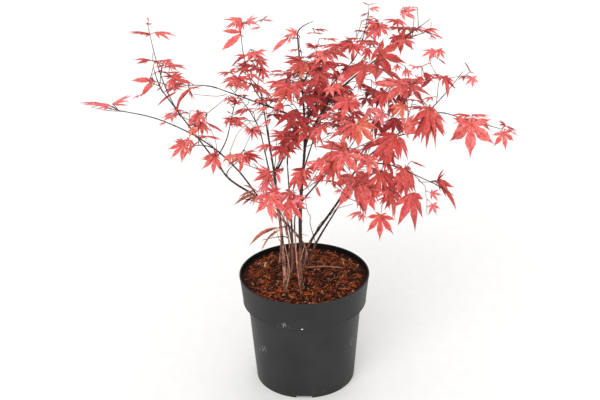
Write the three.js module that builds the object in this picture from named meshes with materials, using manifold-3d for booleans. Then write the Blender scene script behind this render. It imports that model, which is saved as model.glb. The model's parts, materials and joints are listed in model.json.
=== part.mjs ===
// A japanese maple with several slender stems, growing in its nursery pot, in spring leaf.
// Millimetres, Z up. The origin is the middle of the pot's flat underside, X runs to the right
// and Y runs to the back.
import * as THREE from "three";
import { mergeVertices } from "three/addons/utils/BufferGeometryUtils.js";
import Module from "manifold-3d";

const wasm = await Module();
wasm.setup();

// Pot: a round nursery pot with a straight collar over a tapering wall
const POT_HEIGHT = 206;
const RIM_RADIUS = 115;
const RIM_ROUNDING = 1.2;
const COLLAR_HEIGHT = 52.6;
const COLLAR_FOOT_RADIUS = 109.4;
const WALL_TOP_RADIUS = 101;
const FOOT_RADIUS = 89;
const WALL_THICKNESS = 2.8;
const STEP_SLOPE = 1.2;
const BASE_THICKNESS = 3;
const BASE_PLATE_RADIUS = 54;
const FOOT_RING_RADIUS = 84;
const DRAIN_CHANNEL_HEIGHT = 5;
const DRAIN_CHANNEL_SLOPE = 2;
const DRAIN_NOTCHES = 4;
const FRONT_NOTCH_TURN = -92;
const NOTCH_WIDTH = 28;
const NOTCH_HEIGHT = 4.5;
const NOTCH_DEPTH = 16;
const DRAIN_HOLES = 4;
const DRAIN_HOLE_RADIUS = 5;
const DRAIN_HOLE_SIDES = 8;
const POT_SIDES = 40;

// Potting mix: the filling, level a little below the rim
const MIX_BELOW_RIM = 8;
const MIX_LEVEL = POT_HEIGHT - MIX_BELOW_RIM;

// Clearances between neighbouring solids
const CLEARANCE = 0.3;
const LEAF_CLEARANCE = 0.5;
const MERGE_DISTANCE = 1e-4;
const BOX_MARGIN = 3;
const LIMB_BOX_POINTS = 20;
const SHORTEST_EDGE = 0.08;

// Limbs: sections, root flare and the fallen cane
const STEM_SIDES = 6;
const BOUGH_SIDES = 5;
const STEP_LENGTH = 34;
const FEWEST_STEPS = 4;
const CANE_STEPS = 3;
const FLARE_HEIGHT = 9;
const FLARE_SHARE = 0.75;
const CANE_FROM = [3, 24];
const CANE_TO = [68, 22];
const CANE_THICKNESS = 3.4;
const CANE_TAPER = 0.3;

// Stems: foot on the mix, the bends on the way, the tip, and the thickness at foot and tip
const STEMS = {
  trunk_main: {
    foot: [-6, -28], bends: [[-5, -11, 335], [4, 3, 470]], tip: [-6, 20, 632],
    thick: [6.8, 2.8],
  },
  trunk_left: { foot: [-32, -56], bends: [[-38, -36, 300]], tip: [-48, -25, 410], thick: [6, 5.6] },
  stem_leaning_left: {
    foot: [-3, 11],
    bends: [[0, 15, 252], [-68, 2, 341], [-122, -14, 391], [-146, -21, 430]],
    tip: [-226, -8, 546],
    thick: [4.6, 2.4],
  },
  stem_right_outer: {
    foot: [-3, 42],
    bends: [[12, 27, 252], [60, -5, 345], [101, -48, 438]],
    tip: [203, -62, 527],
    thick: [4.8, 2.6],
  },
  stem_right_inner: { foot: [5, 27], bends: [[21, 18, 252]], tip: [67, -36, 364], thick: [4, 2.8] },
  stem_front_left: {
    foot: [-31, -25], bends: [[-25, -34, 268]], tip: [-28, -62, 322],
    thick: [4, 2.8],
  },
  stem_front_pink: { foot: [-5, -63], bends: [[-12, -66, 262]], tip: [-15, -74, 326], thick: [4, 2.8] },
  stem_middle_left: { foot: [-24, -4], bends: [[-20, 1, 262]], tip: [-26, -8, 416], thick: [4.2, 2.6] },
  stem_red: {
    foot: [-17, 8], bends: [[-22, 22, 258], [-36, 14, 330]], tip: [-58, -2, 380],
    thick: [3.8, 2.4],
  },
  stem_back_left: { foot: [-44, 52], bends: [[-42, 60, 270]], tip: [-72, 104, 420], thick: [4.4, 2.6] },
  stem_back: { foot: [-4.5, 58], bends: [[-6.5, 66, 300]], tip: [10, 100, 446], thick: [4.8, 2.8] },
};

// Boughs: the limb that each leaves and where along it, then as for the stems
const BOUGHS = {
  bough_long_left: {
    from: "stem_leaning_left", at: 0.42,
    bends: [[-113, 9, 402], [-166, 14, 451], [-238, 6, 494]],
    tip: [-314, 0, 516],
    thick: [3.4, 2],
  },
  bough_left_riser: {
    from: "stem_leaning_left", at: 0.8, bends: [[-128, 2, 457]], tip: [-117, 18, 497],
    thick: [2.6, 1.8],
  },
  bough_high_left: {
    from: "trunk_main", at: 0.71, bends: [[-46, 16, 507]], tip: [-140, 20, 543],
    thick: [3.6, 2.2],
  },
  bough_fork_left: {
    from: "trunk_left", at: 0.97, bends: [[-57, -14, 470]], tip: [-66, -2, 534],
    thick: [4, 2.4],
  },
  bough_fork_right: {
    from: "trunk_left", at: 0.97, bends: [[-22, 14, 440]], tip: [14, 58, 482],
    thick: [3.6, 2.2],
  },
  bough_right_up: {
    from: "trunk_main", at: 0.62, bends: [[41, 9, 516], [72, 14, 549]], tip: [150, 32, 606],
    thick: [5, 2.6],
  },
  bough_right_steep: {
    from: "trunk_main", at: 0.69, bends: [[30, 26, 520]], tip: [82, 48, 574],
    thick: [3.4, 2.2],
  },
  bough_middle_right: {
    from: "trunk_main", at: 0.5, bends: [[22, 18, 460]], tip: [38, 30, 498],
    thick: [3, 2],
  },
  bough_front_right: {
    from: "trunk_main", at: 0.36, bends: [[34, -34, 404]], tip: [62, -72, 452],
    thick: [3.4, 2.2],
  },
  bough_right_low: {
    from: "stem_right_outer", at: 0.73, bends: [[140, -92, 448]], tip: [200, -128, 434],
    thick: [3, 1.8],
  },
  bough_far_right: {
    from: "stem_right_outer", at: 0.99, bends: [[226, -64, 525]], tip: [252, -68, 518],
    thick: [2.4, 1.8],
  },
};

// Leaf masses: the limb that carries each and where along it, if not at its tip, the end of the
// mass's own stem, its pairs of leaves or shoots, how many of those pairs are shoots, and the
// leaves' span, how far they droop in degrees, and their tint where it isn't red
const MASSES = {
  leaves_far_left: {
    limb: "bough_long_left", tip: [-342, 0, 529],
    pairs: 1, span: 44, droop: 2, tint: "coral",
  },
  leaves_left_spray: {
    limb: "bough_long_left", at: 0.55, tip: [-186, 8, 508],
    pairs: 2, span: 50, droop: 20, tint: "coral",
  },
  leaves_left_hanging: {
    limb: "bough_long_left", at: 0.4, tip: [-184, -36, 462],
    pairs: 1, span: 56, droop: 45, tint: "coral",
  },
  leaves_left_inner: {
    limb: "stem_leaning_left", at: 0.62, tip: [-100, -34, 438],
    pairs: 1, span: 56, droop: 20, tint: "coral",
  },
  leaves_left_low: {
    limb: "stem_leaning_left", at: 0.36, tip: [-108, -34, 366],
    pairs: 1, span: 44, droop: 15, tint: "coral",
  },
  leaves_upper_left: {
    limb: "stem_leaning_left", tip: [-240, -6, 590],
    pairs: 2, shoots: 1, span: 58, droop: 20, tint: "coral",
  },
  leaves_left_shoot: {
    limb: "stem_leaning_left", at: 0.94, tip: [-247, 14, 655],
    pairs: 2, span: 44, droop: 5, tint: "coral",
  },
  leaves_left_riser: {
    limb: "bough_left_riser", tip: [-111, 26, 522],
    pairs: 1, span: 36, droop: 15, tint: "coral",
  },
  leaves_high_left: {
    limb: "bough_high_left", tip: [-196, 18, 549],
    pairs: 2, span: 50, droop: 25, tint: "coral",
  },
  leaves_front_low: {
    limb: "stem_front_pink", tip: [-6, -116, 398],
    pairs: 1, span: 82, droop: 55, tint: "coral",
  },
  leaves_front_left: {
    limb: "stem_front_left", tip: [-60, -108, 408],
    pairs: 1, span: 80, droop: 58, tint: "coral",
  },
  leaves_low_hanging: {
    limb: "stem_front_left", at: 0.72, tip: [-70, -72, 306],
    pairs: 1, span: 42, droop: 55, tint: "coral",
  },
  leaves_centre_left: {
    limb: "stem_red", tip: [-82, -30, 428],
    pairs: 2, span: 54, droop: 15, tint: "coral",
  },
  leaves_centre_dark: {
    limb: "stem_middle_left", tip: [-14, -36, 474],
    pairs: 3, span: 58, droop: 15, tint: "deep",
  },
  leaves_centre_right_low: {
    limb: "trunk_main", at: 0.37, tip: [6, -76, 424],
    pairs: 2, span: 60, droop: 30,
  },
  leaves_mid_left: {
    limb: "bough_fork_left", tip: [-112, 18, 584],
    pairs: 3, shoots: 1, span: 54, droop: 15,
  },
  leaves_top_left: {
    limb: "bough_high_left", at: 0.5, tip: [-100, 44, 644],
    pairs: 2, span: 52, droop: 30, tint: "coral",
  },
  leaves_trunk_top: { limb: "trunk_main", tip: [20, 36, 650], pairs: 2, span: 44, droop: 8 },
  leaves_upper_centre: {
    limb: "trunk_main", at: 0.8, tip: [36, -20, 616],
    pairs: 3, shoots: 1, span: 58, droop: 12,
  },
  leaves_centre: {
    limb: "trunk_main", at: 0.655, tip: [-28, -40, 552],
    pairs: 3, span: 60, droop: 20, tint: "deep",
  },
  leaves_centre_back: {
    limb: "bough_fork_right", tip: [20, 92, 552],
    pairs: 3, shoots: 1, span: 58, droop: 15, tint: "deep",
  },
  leaves_top_right: {
    limb: "bough_right_steep", tip: [111, 52, 662],
    pairs: 2, shoots: 1, span: 54, droop: 15,
  },
  leaves_far_top_right: {
    limb: "bough_right_up", tip: [212, 46, 648],
    pairs: 3, shoots: 1, span: 46, droop: 15,
  },
  leaves_right_crown: {
    limb: "bough_right_up", at: 0.76, tip: [136, -24, 604],
    pairs: 2, span: 82, droop: 35,
  },
  leaves_right_shoots: {
    limb: "stem_right_outer", at: 0.96, tip: [256, -46, 588],
    pairs: 2, span: 38, droop: 25,
  },
  leaves_right_middle: {
    limb: "stem_right_outer", at: 0.9, tip: [160, -34, 566],
    pairs: 3, span: 62, droop: 20,
  },
  leaves_far_right: { limb: "bough_far_right", tip: [318, -74, 500], pairs: 2, span: 70, droop: 35 },
  leaves_right_front: {
    limb: "bough_front_right", tip: [92, -118, 522],
    pairs: 3, shoots: 1, span: 76, droop: 35,
  },
  leaves_right_front_low: {
    limb: "stem_right_inner", tip: [142, -140, 424],
    pairs: 4, shoots: 1, span: 76, droop: 55,
  },
  leaves_right_side: {
    limb: "stem_right_outer", at: 0.85, tip: [196, -114, 508],
    pairs: 4, span: 74, droop: 45,
  },
  leaves_right_low_shoot: {
    limb: "bough_right_low", tip: [238, -134, 412],
    pairs: 1, span: 42, droop: 40,
  },
  leaves_middle_right: {
    limb: "bough_middle_right", tip: [68, 26, 548],
    pairs: 3, shoots: 1, span: 60, droop: 20, tint: "deep",
  },
  leaves_back_left: {
    limb: "stem_back_left", tip: [-132, 186, 488],
    pairs: 2, shoots: 1, span: 60, droop: 25, tint: "deep",
  },
  leaves_back: {
    limb: "stem_back", tip: [-8, 208, 506],
    pairs: 3, shoots: 1, span: 60, droop: 25, tint: "deep",
  },
  leaves_back_right: {
    limb: "stem_back", at: 0.85, tip: [112, 172, 500],
    pairs: 2, shoots: 1, span: 60, droop: 25, tint: "deep",
  },
};

// Growth rule: where the nodes stand along a twig and how the shoots and leaves leave it
const FIRST_NODE = 0.34;
const LAST_NODE = 0.92;
const SHOOT_NODE = 0.55;
const NODE_TURN = THREE.MathUtils.degToRad(68);
const TURN_JITTER = THREE.MathUtils.degToRad(24);
const YAW_JITTER = THREE.MathUtils.degToRad(26);
const DROOP_JITTER = THREE.MathUtils.degToRad(12);
const ROLL_JITTER = THREE.MathUtils.degToRad(16);
const PETIOLE_DROOP = 0.4;
const HEADING_PULL = 0.35;
const SPACE_SPANS = 1.25;
const TWIG_SIDES = 3;
const TWIG_RADIUS = [1.7, 1.15];
const SHOOT_RADIUS = [1.25, 1.05];
const SHOOT_LENGTH = [0.55, 0.8];
const FIRST_SEED = 11;
const LEAF_SIZE = [0.85, 1.12];
const SHOOT_LEAF_SIZE = 0.9;
const TIP_LEAF_SIZE = 0.8;
const SHOOT_LEAN = 0.6;
const SHOOT_LIFT = 0.12;
const PAIR_LEAN = 0.4;
const TIP_PAIR_SPREAD = 0.75;
const ROOT_SINK = 1.2;
const STEEPEST = 0.05;
const STEM_STEPS = 4;
const SHOOT_STEPS = 2;

// Leaf: five pointed lobes round a hub, on a stalk
const LOBES = [
  { turn: -80, length: 0.7 },
  { turn: -39, length: 0.94 },
  { turn: 0, length: 1 },
  { turn: 39, length: 0.94 },
  { turn: 80, length: 0.7 },
];
const WIDTH_OVER_LOBE = 1.38;
const LOBE_NOTCH = 0.4;
const LOBE_DROP = 0.1;
const HUB_FORWARD = 0.1;
const HUB_THICKNESS = 2;
const STALK_LENGTH = 0.38;
const STALK_RADIUS = 0.85;

const UP = new THREE.Vector3(0, 0, 1);

const material = (color, roughness) => new THREE.MeshStandardMaterial({ color, roughness, metalness: 0 });
const potPlastic = material(0x3f3d3d, 0.55);
const barkMulch = material(0x7a3a20, 0.95);
const lowerBark = material(0x8a6a58, 0.8);
const darkBark = material(0x3b2722, 0.75);
const leafTints = {
  coral: material(0xe2625e, 0.6),
  red: material(0xcf4240, 0.6),
  deep: material(0x9e2f30, 0.6),
};

const vector = (point) => new THREE.Vector3(...point);

// Solids for the boolean work, from closed geometries and back
function toSolid(geometry) {
  const bare = geometry.clone();
  bare.deleteAttribute("normal");
  bare.deleteAttribute("uv");
  const merged = mergeVertices(bare, MERGE_DISTANCE);
  return new wasm.Manifold(new wasm.Mesh({
    numProp: 3,
    vertProperties: new Float32Array(merged.attributes.position.array),
    triVerts: new Uint32Array(merged.index.array),
  }));
}

function toGeometry(solid) {
  const mesh = solid.getMesh();
  const geometry = new THREE.BufferGeometry();
  geometry.setAttribute("position", new THREE.BufferAttribute(mesh.vertProperties, 3));
  geometry.setIndex(new THREE.BufferAttribute(mesh.triVerts, 1));
  return geometry;
}

function largestPiece(solid) {
  const pieces = solid.decompose();
  return pieces.reduce((best, piece) => (piece.volume() > best.volume() ? piece : best));
}

// A number generator that gives the same row of numbers for the same seed
function seededRandom(seed) {
  let state = seed;
  return () => {
    state = (state + 0x6d2b79f5) | 0;
    let mixed = Math.imul(state ^ (state >>> 15), 1 | state);
    mixed = (mixed + Math.imul(mixed ^ (mixed >>> 7), 61 | mixed)) ^ mixed;
    return ((mixed ^ (mixed >>> 14)) >>> 0) / 4294967296;
  };
}

const between = (random, [low, high]) => low + (high - low) * random();
const jitter = (random, size) => size * (2 * random() - 1);

// A closed tube along a curve whose radius is a function of the way along it
function taperedTube(curve, radiusAt, sides, steps) {
  const tube = new THREE.CylinderGeometry(1, 1, 1, sides, steps);
  const frames = curve.computeFrenetFrames(steps, false);
  const position = tube.attributes.position;
  for (let i = 0; i < position.count; i += 1) {
    const along = position.getY(i) + 0.5;
    const ring = Math.round(along * steps);
    const radius = radiusAt(along);
    const point = curve.getPoint(curve.getUtoTmapping(along))
      .addScaledVector(frames.normals[ring], position.getX(i) * radius)
      .addScaledVector(frames.binormals[ring], -position.getZ(i) * radius);
    position.setXYZ(i, point.x, point.y, point.z);
  }
  return tube;
}

// Pot
function potProfile() {
  const collarFoot = POT_HEIGHT - COLLAR_HEIGHT;
  const innerStep = collarFoot + WALL_THICKNESS;
  const inner = (radius) => radius - WALL_THICKNESS;
  return [
    [0, 0],
    [BASE_PLATE_RADIUS, 0],
    [BASE_PLATE_RADIUS + DRAIN_CHANNEL_SLOPE, DRAIN_CHANNEL_HEIGHT],
    [FOOT_RING_RADIUS, DRAIN_CHANNEL_HEIGHT],
    [FOOT_RING_RADIUS, 0],
    [FOOT_RADIUS, 0],
    [WALL_TOP_RADIUS, collarFoot + STEP_SLOPE],
    [COLLAR_FOOT_RADIUS, collarFoot],
    [RIM_RADIUS, POT_HEIGHT - RIM_ROUNDING],
    [RIM_RADIUS - RIM_ROUNDING, POT_HEIGHT],
    [inner(RIM_RADIUS), POT_HEIGHT],
    [inner(COLLAR_FOOT_RADIUS), innerStep],
    [inner(WALL_TOP_RADIUS), innerStep],
    [FOOT_RADIUS - WALL_THICKNESS, DRAIN_CHANNEL_HEIGHT + BASE_THICKNESS],
    [0, DRAIN_CHANNEL_HEIGHT + BASE_THICKNESS],
  ].map(([radius, height]) => new THREE.Vector2(radius, height));
}

function latheSolid(profile) {
  const geometry = new THREE.LatheGeometry(profile, POT_SIDES);
  return toSolid(geometry.rotateX(Math.PI / 2));
}

function buildPot() {
  let pot = latheSolid(potProfile());
  const ringMiddle = (BASE_PLATE_RADIUS + FOOT_RING_RADIUS) / 2;
  const frontTurn = THREE.MathUtils.degToRad(FRONT_NOTCH_TURN);
  for (let i = 0; i < DRAIN_NOTCHES; i += 1) {
    const turn = (i / DRAIN_NOTCHES) * 2 * Math.PI + frontTurn;
    const notch = new THREE.BoxGeometry(NOTCH_DEPTH, NOTCH_WIDTH, 2 * NOTCH_HEIGHT);
    notch.translate(FOOT_RADIUS, 0, 0).rotateZ(turn);
    pot = pot.subtract(toSolid(notch));
  }
  for (let i = 0; i < DRAIN_HOLES; i += 1) {
    const turn = ((i + 0.5) / DRAIN_HOLES) * 2 * Math.PI + frontTurn;
    const drill = [DRAIN_HOLE_RADIUS, DRAIN_HOLE_RADIUS, 4 * BASE_THICKNESS, DRAIN_HOLE_SIDES];
    const hole = new THREE.CylinderGeometry(...drill).rotateX(Math.PI / 2);
    hole.translate(ringMiddle * Math.cos(turn), ringMiddle * Math.sin(turn), DRAIN_CHANNEL_HEIGHT);
    pot = pot.subtract(toSolid(hole));
  }
  return pot;
}

// Potting mix: the pot's inside up to the level of the mix, clear of the wall
function buildMix() {
  const floor = DRAIN_CHANNEL_HEIGHT + BASE_THICKNESS + CLEARANCE;
  const innerStep = POT_HEIGHT - COLLAR_HEIGHT + WALL_THICKNESS + CLEARANCE;
  const inside = (radius) => radius - WALL_THICKNESS - 2 * CLEARANCE;
  const collarShare = (MIX_LEVEL - innerStep) / (POT_HEIGHT - innerStep);
  const levelRadius = THREE.MathUtils.lerp(COLLAR_FOOT_RADIUS, RIM_RADIUS, collarShare);
  const profile = [
    [0, floor],
    [inside(FOOT_RADIUS), floor],
    [inside(WALL_TOP_RADIUS), innerStep],
    [inside(COLLAR_FOOT_RADIUS), innerStep],
    [inside(levelRadius), MIX_LEVEL],
    [0, MIX_LEVEL],
  ].map(([radius, height]) => new THREE.Vector2(radius, height));
  return latheSolid(profile);
}

// Limbs
const limbs = {};

function limbRadius(spec, length, extra) {
  return (along) => {
    const [footThick, tipThick] = spec.thick;
    const plain = THREE.MathUtils.lerp(footThick, tipThick, along) / 2;
    const height = along * length;
    const flare = spec.foot ? 1 + FLARE_SHARE * Math.exp(-height / FLARE_HEIGHT) : 1;
    return plain * flare + extra;
  };
}

function addLimb(name, spec, start, sides) {
  const points = [start, ...spec.bends.map(vector), vector(spec.tip)];
  const curve = new THREE.CatmullRomCurve3(points, false, "catmullrom", 0.5);
  const length = curve.getLength();
  const steps = Math.max(FEWEST_STEPS, Math.round(length / STEP_LENGTH));
  let solid = toSolid(taperedTube(curve, limbRadius(spec, length, 0), sides, steps));
  const grown = toSolid(taperedTube(curve, limbRadius(spec, length, CLEARANCE), sides, steps));
  for (const other of Object.values(limbs)) {
    solid = solid.subtract(other.grown);
  }
  limbs[name] = { curve, solid: largestPiece(solid), grown };
}

// Cuts a stem off flat, just above the mix
function cutAtMix(solid) {
  const depth = 2 * FLARE_HEIGHT;
  const block = new THREE.BoxGeometry(2 * RIM_RADIUS, 2 * RIM_RADIUS, depth);
  block.translate(0, 0, MIX_LEVEL + CLEARANCE - depth / 2);
  return solid.subtract(toSolid(block));
}

function buildLimbs() {
  for (const [name, spec] of Object.entries(STEMS)) {
    const below = MIX_LEVEL - FLARE_HEIGHT / 2;
    addLimb(name, spec, new THREE.Vector3(...spec.foot, below), STEM_SIDES);
    limbs[name].solid = largestPiece(cutAtMix(limbs[name].solid));
  }
  for (const [name, spec] of Object.entries(BOUGHS)) {
    addLimb(name, spec, limbs[spec.from].curve.getPoint(spec.at), BOUGH_SIDES);
  }
}

function buildCane() {
  const height = MIX_LEVEL + CLEARANCE + CANE_THICKNESS / 2;
  const curve = new THREE.LineCurve3(
    new THREE.Vector3(...CANE_FROM, height),
    new THREE.Vector3(...CANE_TO, height),
  );
  const radius = (along) => (CANE_THICKNESS / 2) * (1 - CANE_TAPER * along);
  let cane = toSolid(taperedTube(curve, radius, STEM_SIDES, CANE_STEPS));
  for (const limb of Object.values(limbs)) {
    cane = cane.subtract(limb.grown);
  }
  return largestPiece(cutAtMix(cane));
}

// Growth: the twigs and leaves that a mass would have with nothing in its way
function twigCurve(start, heading, tip) {
  const pull = start.distanceTo(tip) * HEADING_PULL;
  return new THREE.QuadraticBezierCurve3(start, start.clone().addScaledVector(heading, pull), tip);
}

function growLeaf(root, direction, size, mass, random) {
  const flat = new THREE.Vector3(direction.x, direction.y, 0).normalize();
  flat.applyAxisAngle(UP, jitter(random, YAW_JITTER));
  const droop = THREE.MathUtils.degToRad(mass.droop) + jitter(random, DROOP_JITTER);
  const roll = jitter(random, ROLL_JITTER);
  const span = mass.span * size * between(random, LEAF_SIZE);
  const lean = (angle) => (
    flat.clone().multiplyScalar(Math.cos(angle)).addScaledVector(UP, -Math.sin(angle))
  );
  const axis = lean(droop);
  const stalk = lean(droop * PETIOLE_DROOP);
  const side = new THREE.Vector3().crossVectors(UP, flat).normalize().applyAxisAngle(axis, roll);
  const normal = new THREE.Vector3().crossVectors(axis, side).normalize();
  const hub = root.clone().addScaledVector(stalk, span * STALK_LENGTH);
  return { root, hub, axis, side, normal, lobe: span / WIDTH_OVER_LOBE };
}

function sidewaysFrame(tangent) {
  const level = new THREE.Vector3().crossVectors(tangent, UP);
  if (level.length() < STEEPEST) {
    level.set(1, 0, 0);
  }
  level.normalize();
  return { level, rise: new THREE.Vector3().crossVectors(level, tangent).normalize() };
}

function growMass(mass, limb, random) {
  const at = mass.at ?? 1;
  const heading = limb.curve.getTangent(at);
  const start = limb.curve.getPoint(at);
  if (at === 1) {
    start.addScaledVector(heading, CLEARANCE);
  }
  const curve = twigCurve(start, heading, vector(mass.tip));
  const stem = { curve, radius: TWIG_RADIUS, steps: STEM_STEPS, leaves: [] };
  const shoots = [];
  for (let node = 0; node < mass.pairs; node += 1) {
    const share = mass.pairs > 1 ? node / (mass.pairs - 1) : 0.5;
    const along = THREE.MathUtils.lerp(FIRST_NODE, LAST_NODE, share);
    const point = stem.curve.getPoint(along);
    const tangent = stem.curve.getTangent(along);
    const { level, rise } = sidewaysFrame(tangent);
    const turn = node * NODE_TURN + jitter(random, TURN_JITTER);
    for (const side of [1, -1]) {
      const out = level.clone().multiplyScalar(side * Math.cos(turn));
      out.addScaledVector(rise, side * Math.sin(turn));
      const away = out.clone().addScaledVector(tangent, SHOOT_LEAN).normalize();
      const length = mass.span * between(random, SHOOT_LENGTH);
      if (node < (mass.shoots ?? 0)) {
        shoots.push(growShoot(point, away, length, mass, random));
      } else {
        stem.leaves.push(growLeaf(point, away, 1, mass, random));
      }
    }
  }
  const tipHeading = stem.curve.getTangent(1);
  stem.leaves.push(...growTipLeaves(stem.curve.getPoint(1), tipHeading, mass, random));
  return { stem, shoots };
}

function growShoot(start, away, length, mass, random) {
  const tip = start.clone().addScaledVector(away, length).addScaledVector(UP, length * SHOOT_LIFT);
  const curve = twigCurve(start, away, tip);
  const shoot = { curve, radius: SHOOT_RADIUS, steps: SHOOT_STEPS, leaves: [] };
  const middle = shoot.curve.getPoint(SHOOT_NODE);
  const { level } = sidewaysFrame(shoot.curve.getTangent(SHOOT_NODE));
  for (const side of [1, -1]) {
    const out = level.clone().multiplyScalar(side).addScaledVector(away, PAIR_LEAN);
    shoot.leaves.push(growLeaf(middle, out, SHOOT_LEAF_SIZE, mass, random));
  }
  shoot.leaves.push(...growTipLeaves(tip, shoot.curve.getTangent(1), mass, random));
  return shoot;
}

function growTipLeaves(point, heading, mass, random) {
  const { level } = sidewaysFrame(heading);
  const root = point.clone().addScaledVector(heading, -ROOT_SINK);
  return [TIP_PAIR_SPREAD, -TIP_PAIR_SPREAD].map((side) => {
    const out = heading.clone().addScaledVector(level, side);
    return growLeaf(root, out, TIP_LEAF_SIZE, mass, random);
  });
}

// Leaf geometry: two shallow fans over the lobed outline, with the stalk drawn out of the hub
function leafPoint(leaf, turn, length) {
  const angle = THREE.MathUtils.degToRad(turn);
  const reach = leaf.lobe * length;
  return leaf.hub.clone()
    .addScaledVector(leaf.axis, reach * Math.cos(angle))
    .addScaledVector(leaf.side, reach * Math.sin(angle))
    .addScaledVector(leaf.normal, -LOBE_DROP * reach * length);
}

function leafOutline(leaf, grow) {
  const outline = [];
  LOBES.forEach((lobe, i) => {
    if (i > 0) {
      outline.push(leafPoint(leaf, (lobe.turn + LOBES[i - 1].turn) / 2, LOBE_NOTCH + grow));
    }
    outline.push(leafPoint(leaf, lobe.turn, lobe.length + grow));
  });
  return outline;
}

function leafSolid(leaf, extra) {
  const halfBase = STALK_RADIUS + extra;
  const foot = (side) => leaf.hub.clone().addScaledVector(leaf.side, side * halfBase);
  const outline = [foot(-1), ...leafOutline(leaf, extra / leaf.lobe), foot(1)];
  const crest = leaf.hub.clone().addScaledVector(leaf.axis, HUB_FORWARD * leaf.lobe);
  const height = HUB_THICKNESS / 2 + extra;
  const top = crest.clone().addScaledVector(leaf.normal, height);
  const bottom = crest.clone().addScaledVector(leaf.normal, -height);
  const radius = STALK_RADIUS + extra;
  const rootRing = [
    leaf.root.clone().addScaledVector(leaf.side, -radius),
    leaf.root.clone().addScaledVector(leaf.normal, radius),
    leaf.root.clone().addScaledVector(leaf.side, radius),
  ];
  const points = [...outline, top, bottom, ...rootRing];
  const last = outline.length - 1;
  const [topAt, bottomAt, leftAt, crownAt, rightAt] = [1, 2, 3, 4, 5].map((step) => last + step);
  const faces = [];
  for (let i = 0; i < last; i += 1) {
    faces.push([topAt, i, i + 1], [bottomAt, i + 1, i]);
  }
  faces.push([0, topAt, leftAt], [topAt, crownAt, leftAt]);
  faces.push([topAt, last, crownAt], [last, rightAt, crownAt]);
  faces.push([last, bottomAt, rightAt], [bottomAt, leftAt, rightAt], [bottomAt, 0, leftAt]);
  faces.push([leftAt, crownAt, rightAt]);
  const geometry = new THREE.BufferGeometry().setFromPoints(points);
  geometry.setIndex(faces.flat());
  return toSolid(geometry);
}

// A mass keeps to the space round its own stem
function insideSpace(mass, stem, points) {
  const shootReach = mass.shoots ? SHOOT_LENGTH[1] : 0;
  const reach = (SPACE_SPANS + shootReach) * mass.span;
  const axis = new THREE.Line3(stem.curve.getPoint(0), stem.curve.getPoint(1));
  const nearest = new THREE.Vector3();
  return points.every((point) => {
    axis.closestPointToPoint(point, true, nearest);
    return point.distanceTo(nearest) <= reach;
  });
}

// What already stands: its solid and box, the limb or mass that it belongs to, its kind, and for
// a leaf the root that it shares with the other leaf of its pair
const standing = [];

function addStanding(solid, points, mass, kind, root) {
  const box = new THREE.Box3().setFromPoints(points).expandByScalar(BOX_MARGIN);
  standing.push({ solid, box, mass, kind, root });
}

function isFree(solid, points, ignores) {
  const box = new THREE.Box3().setFromPoints(points).expandByScalar(BOX_MARGIN);
  return standing.every((other) => (
    ignores(other) || !other.box.intersectsBox(box) || solid.intersect(other.solid).isEmpty()
  ));
}

function twigSolid(twig, extra) {
  const [startRadius, tipRadius] = twig.radius;
  const radius = (along) => THREE.MathUtils.lerp(startRadius, tipRadius, along) + extra;
  return toSolid(taperedTube(twig.curve, radius, TWIG_SIDES, twig.steps));
}

function placeTwig(name, twig, carrier) {
  const points = twig.curve.getPoints(twig.steps);
  const free = isFree(twigSolid(twig, LEAF_CLEARANCE), points, (other) => other.mass === carrier);
  if (free) {
    addStanding(twigSolid(twig, 0), points, name, "twig");
  }
  return free;
}

function placeLeaf(name, leaf, mass, stem) {
  const points = [leaf.root, leaf.hub, ...leafOutline(leaf, 0)];
  const grown = leafSolid(leaf, LEAF_CLEARANCE);
  const ownTwig = (other) => other.mass === name && other.kind === "twig";
  const siblingStalk = (other) => other.mass === name && other.root === leaf.root;
  const free = insideSpace(mass, stem, points)
    && isFree(grown, points, (other) => ownTwig(other) || siblingStalk(other));
  if (free) {
    addStanding(leafSolid(leaf, 0), points, name, "leaf", leaf.root);
  }
}

function buildMasses() {
  for (const [name, limb] of Object.entries(limbs)) {
    addStanding(limb.solid, limb.curve.getPoints(LIMB_BOX_POINTS), name, "limb");
  }
  const grown = Object.entries(MASSES).map(([name, mass], i) => (
    { name, mass, ...growMass(mass, limbs[mass.limb], seededRandom(FIRST_SEED + i)) }
  ));
  const blocked = grown.filter(({ name, mass, stem }) => !placeTwig(name, stem, mass.limb));
  if (blocked.length > 0) {
    throw new Error(`these stems are not clear: ${blocked.map(({ name }) => name)}`);
  }
  for (const entry of grown) {
    entry.kept = entry.shoots.filter((shoot) => placeTwig(entry.name, shoot, entry.name));
  }
  for (const { name, mass, stem, kept } of grown) {
    for (const leaf of [stem, ...kept].flatMap((twig) => twig.leaves)) {
      placeLeaf(name, leaf, mass, stem);
    }
  }
  return grown.map(({ name, mass }) => {
    const parts = standing.filter((other) => other.mass === name).map((other) => other.solid);
    const joined = wasm.Manifold.union(parts).subtract(limbs[mass.limb].grown);
    return { name, solid: largestPiece(joined).simplify(SHORTEST_EDGE), tint: mass.tint ?? "red" };
  });
}

// The whole plant, one named mesh for each sub-part
const plant = new THREE.Group();

function addPart(name, solid, finish) {
  const mesh = new THREE.Mesh(toGeometry(solid), finish);
  mesh.name = name;
  plant.add(mesh);
}

addPart("pot", buildPot(), potPlastic);
addPart("potting_mix", buildMix(), barkMulch);
buildLimbs();
for (const [name, limb] of Object.entries(limbs)) {
  addPart(name, limb.solid, name in STEMS ? lowerBark : darkBark);
}
addPart("fallen_cane", buildCane(), lowerBark);
for (const { name, solid, tint } of buildMasses()) {
  addPart(name, solid, leafTints[tint]);
}

export default plant;
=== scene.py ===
"""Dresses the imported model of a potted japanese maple: pot, mulch, bark, twigs and spring leaves."""
import json
import logging
import math
from dataclasses import dataclass, field
from enum import Enum

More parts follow.
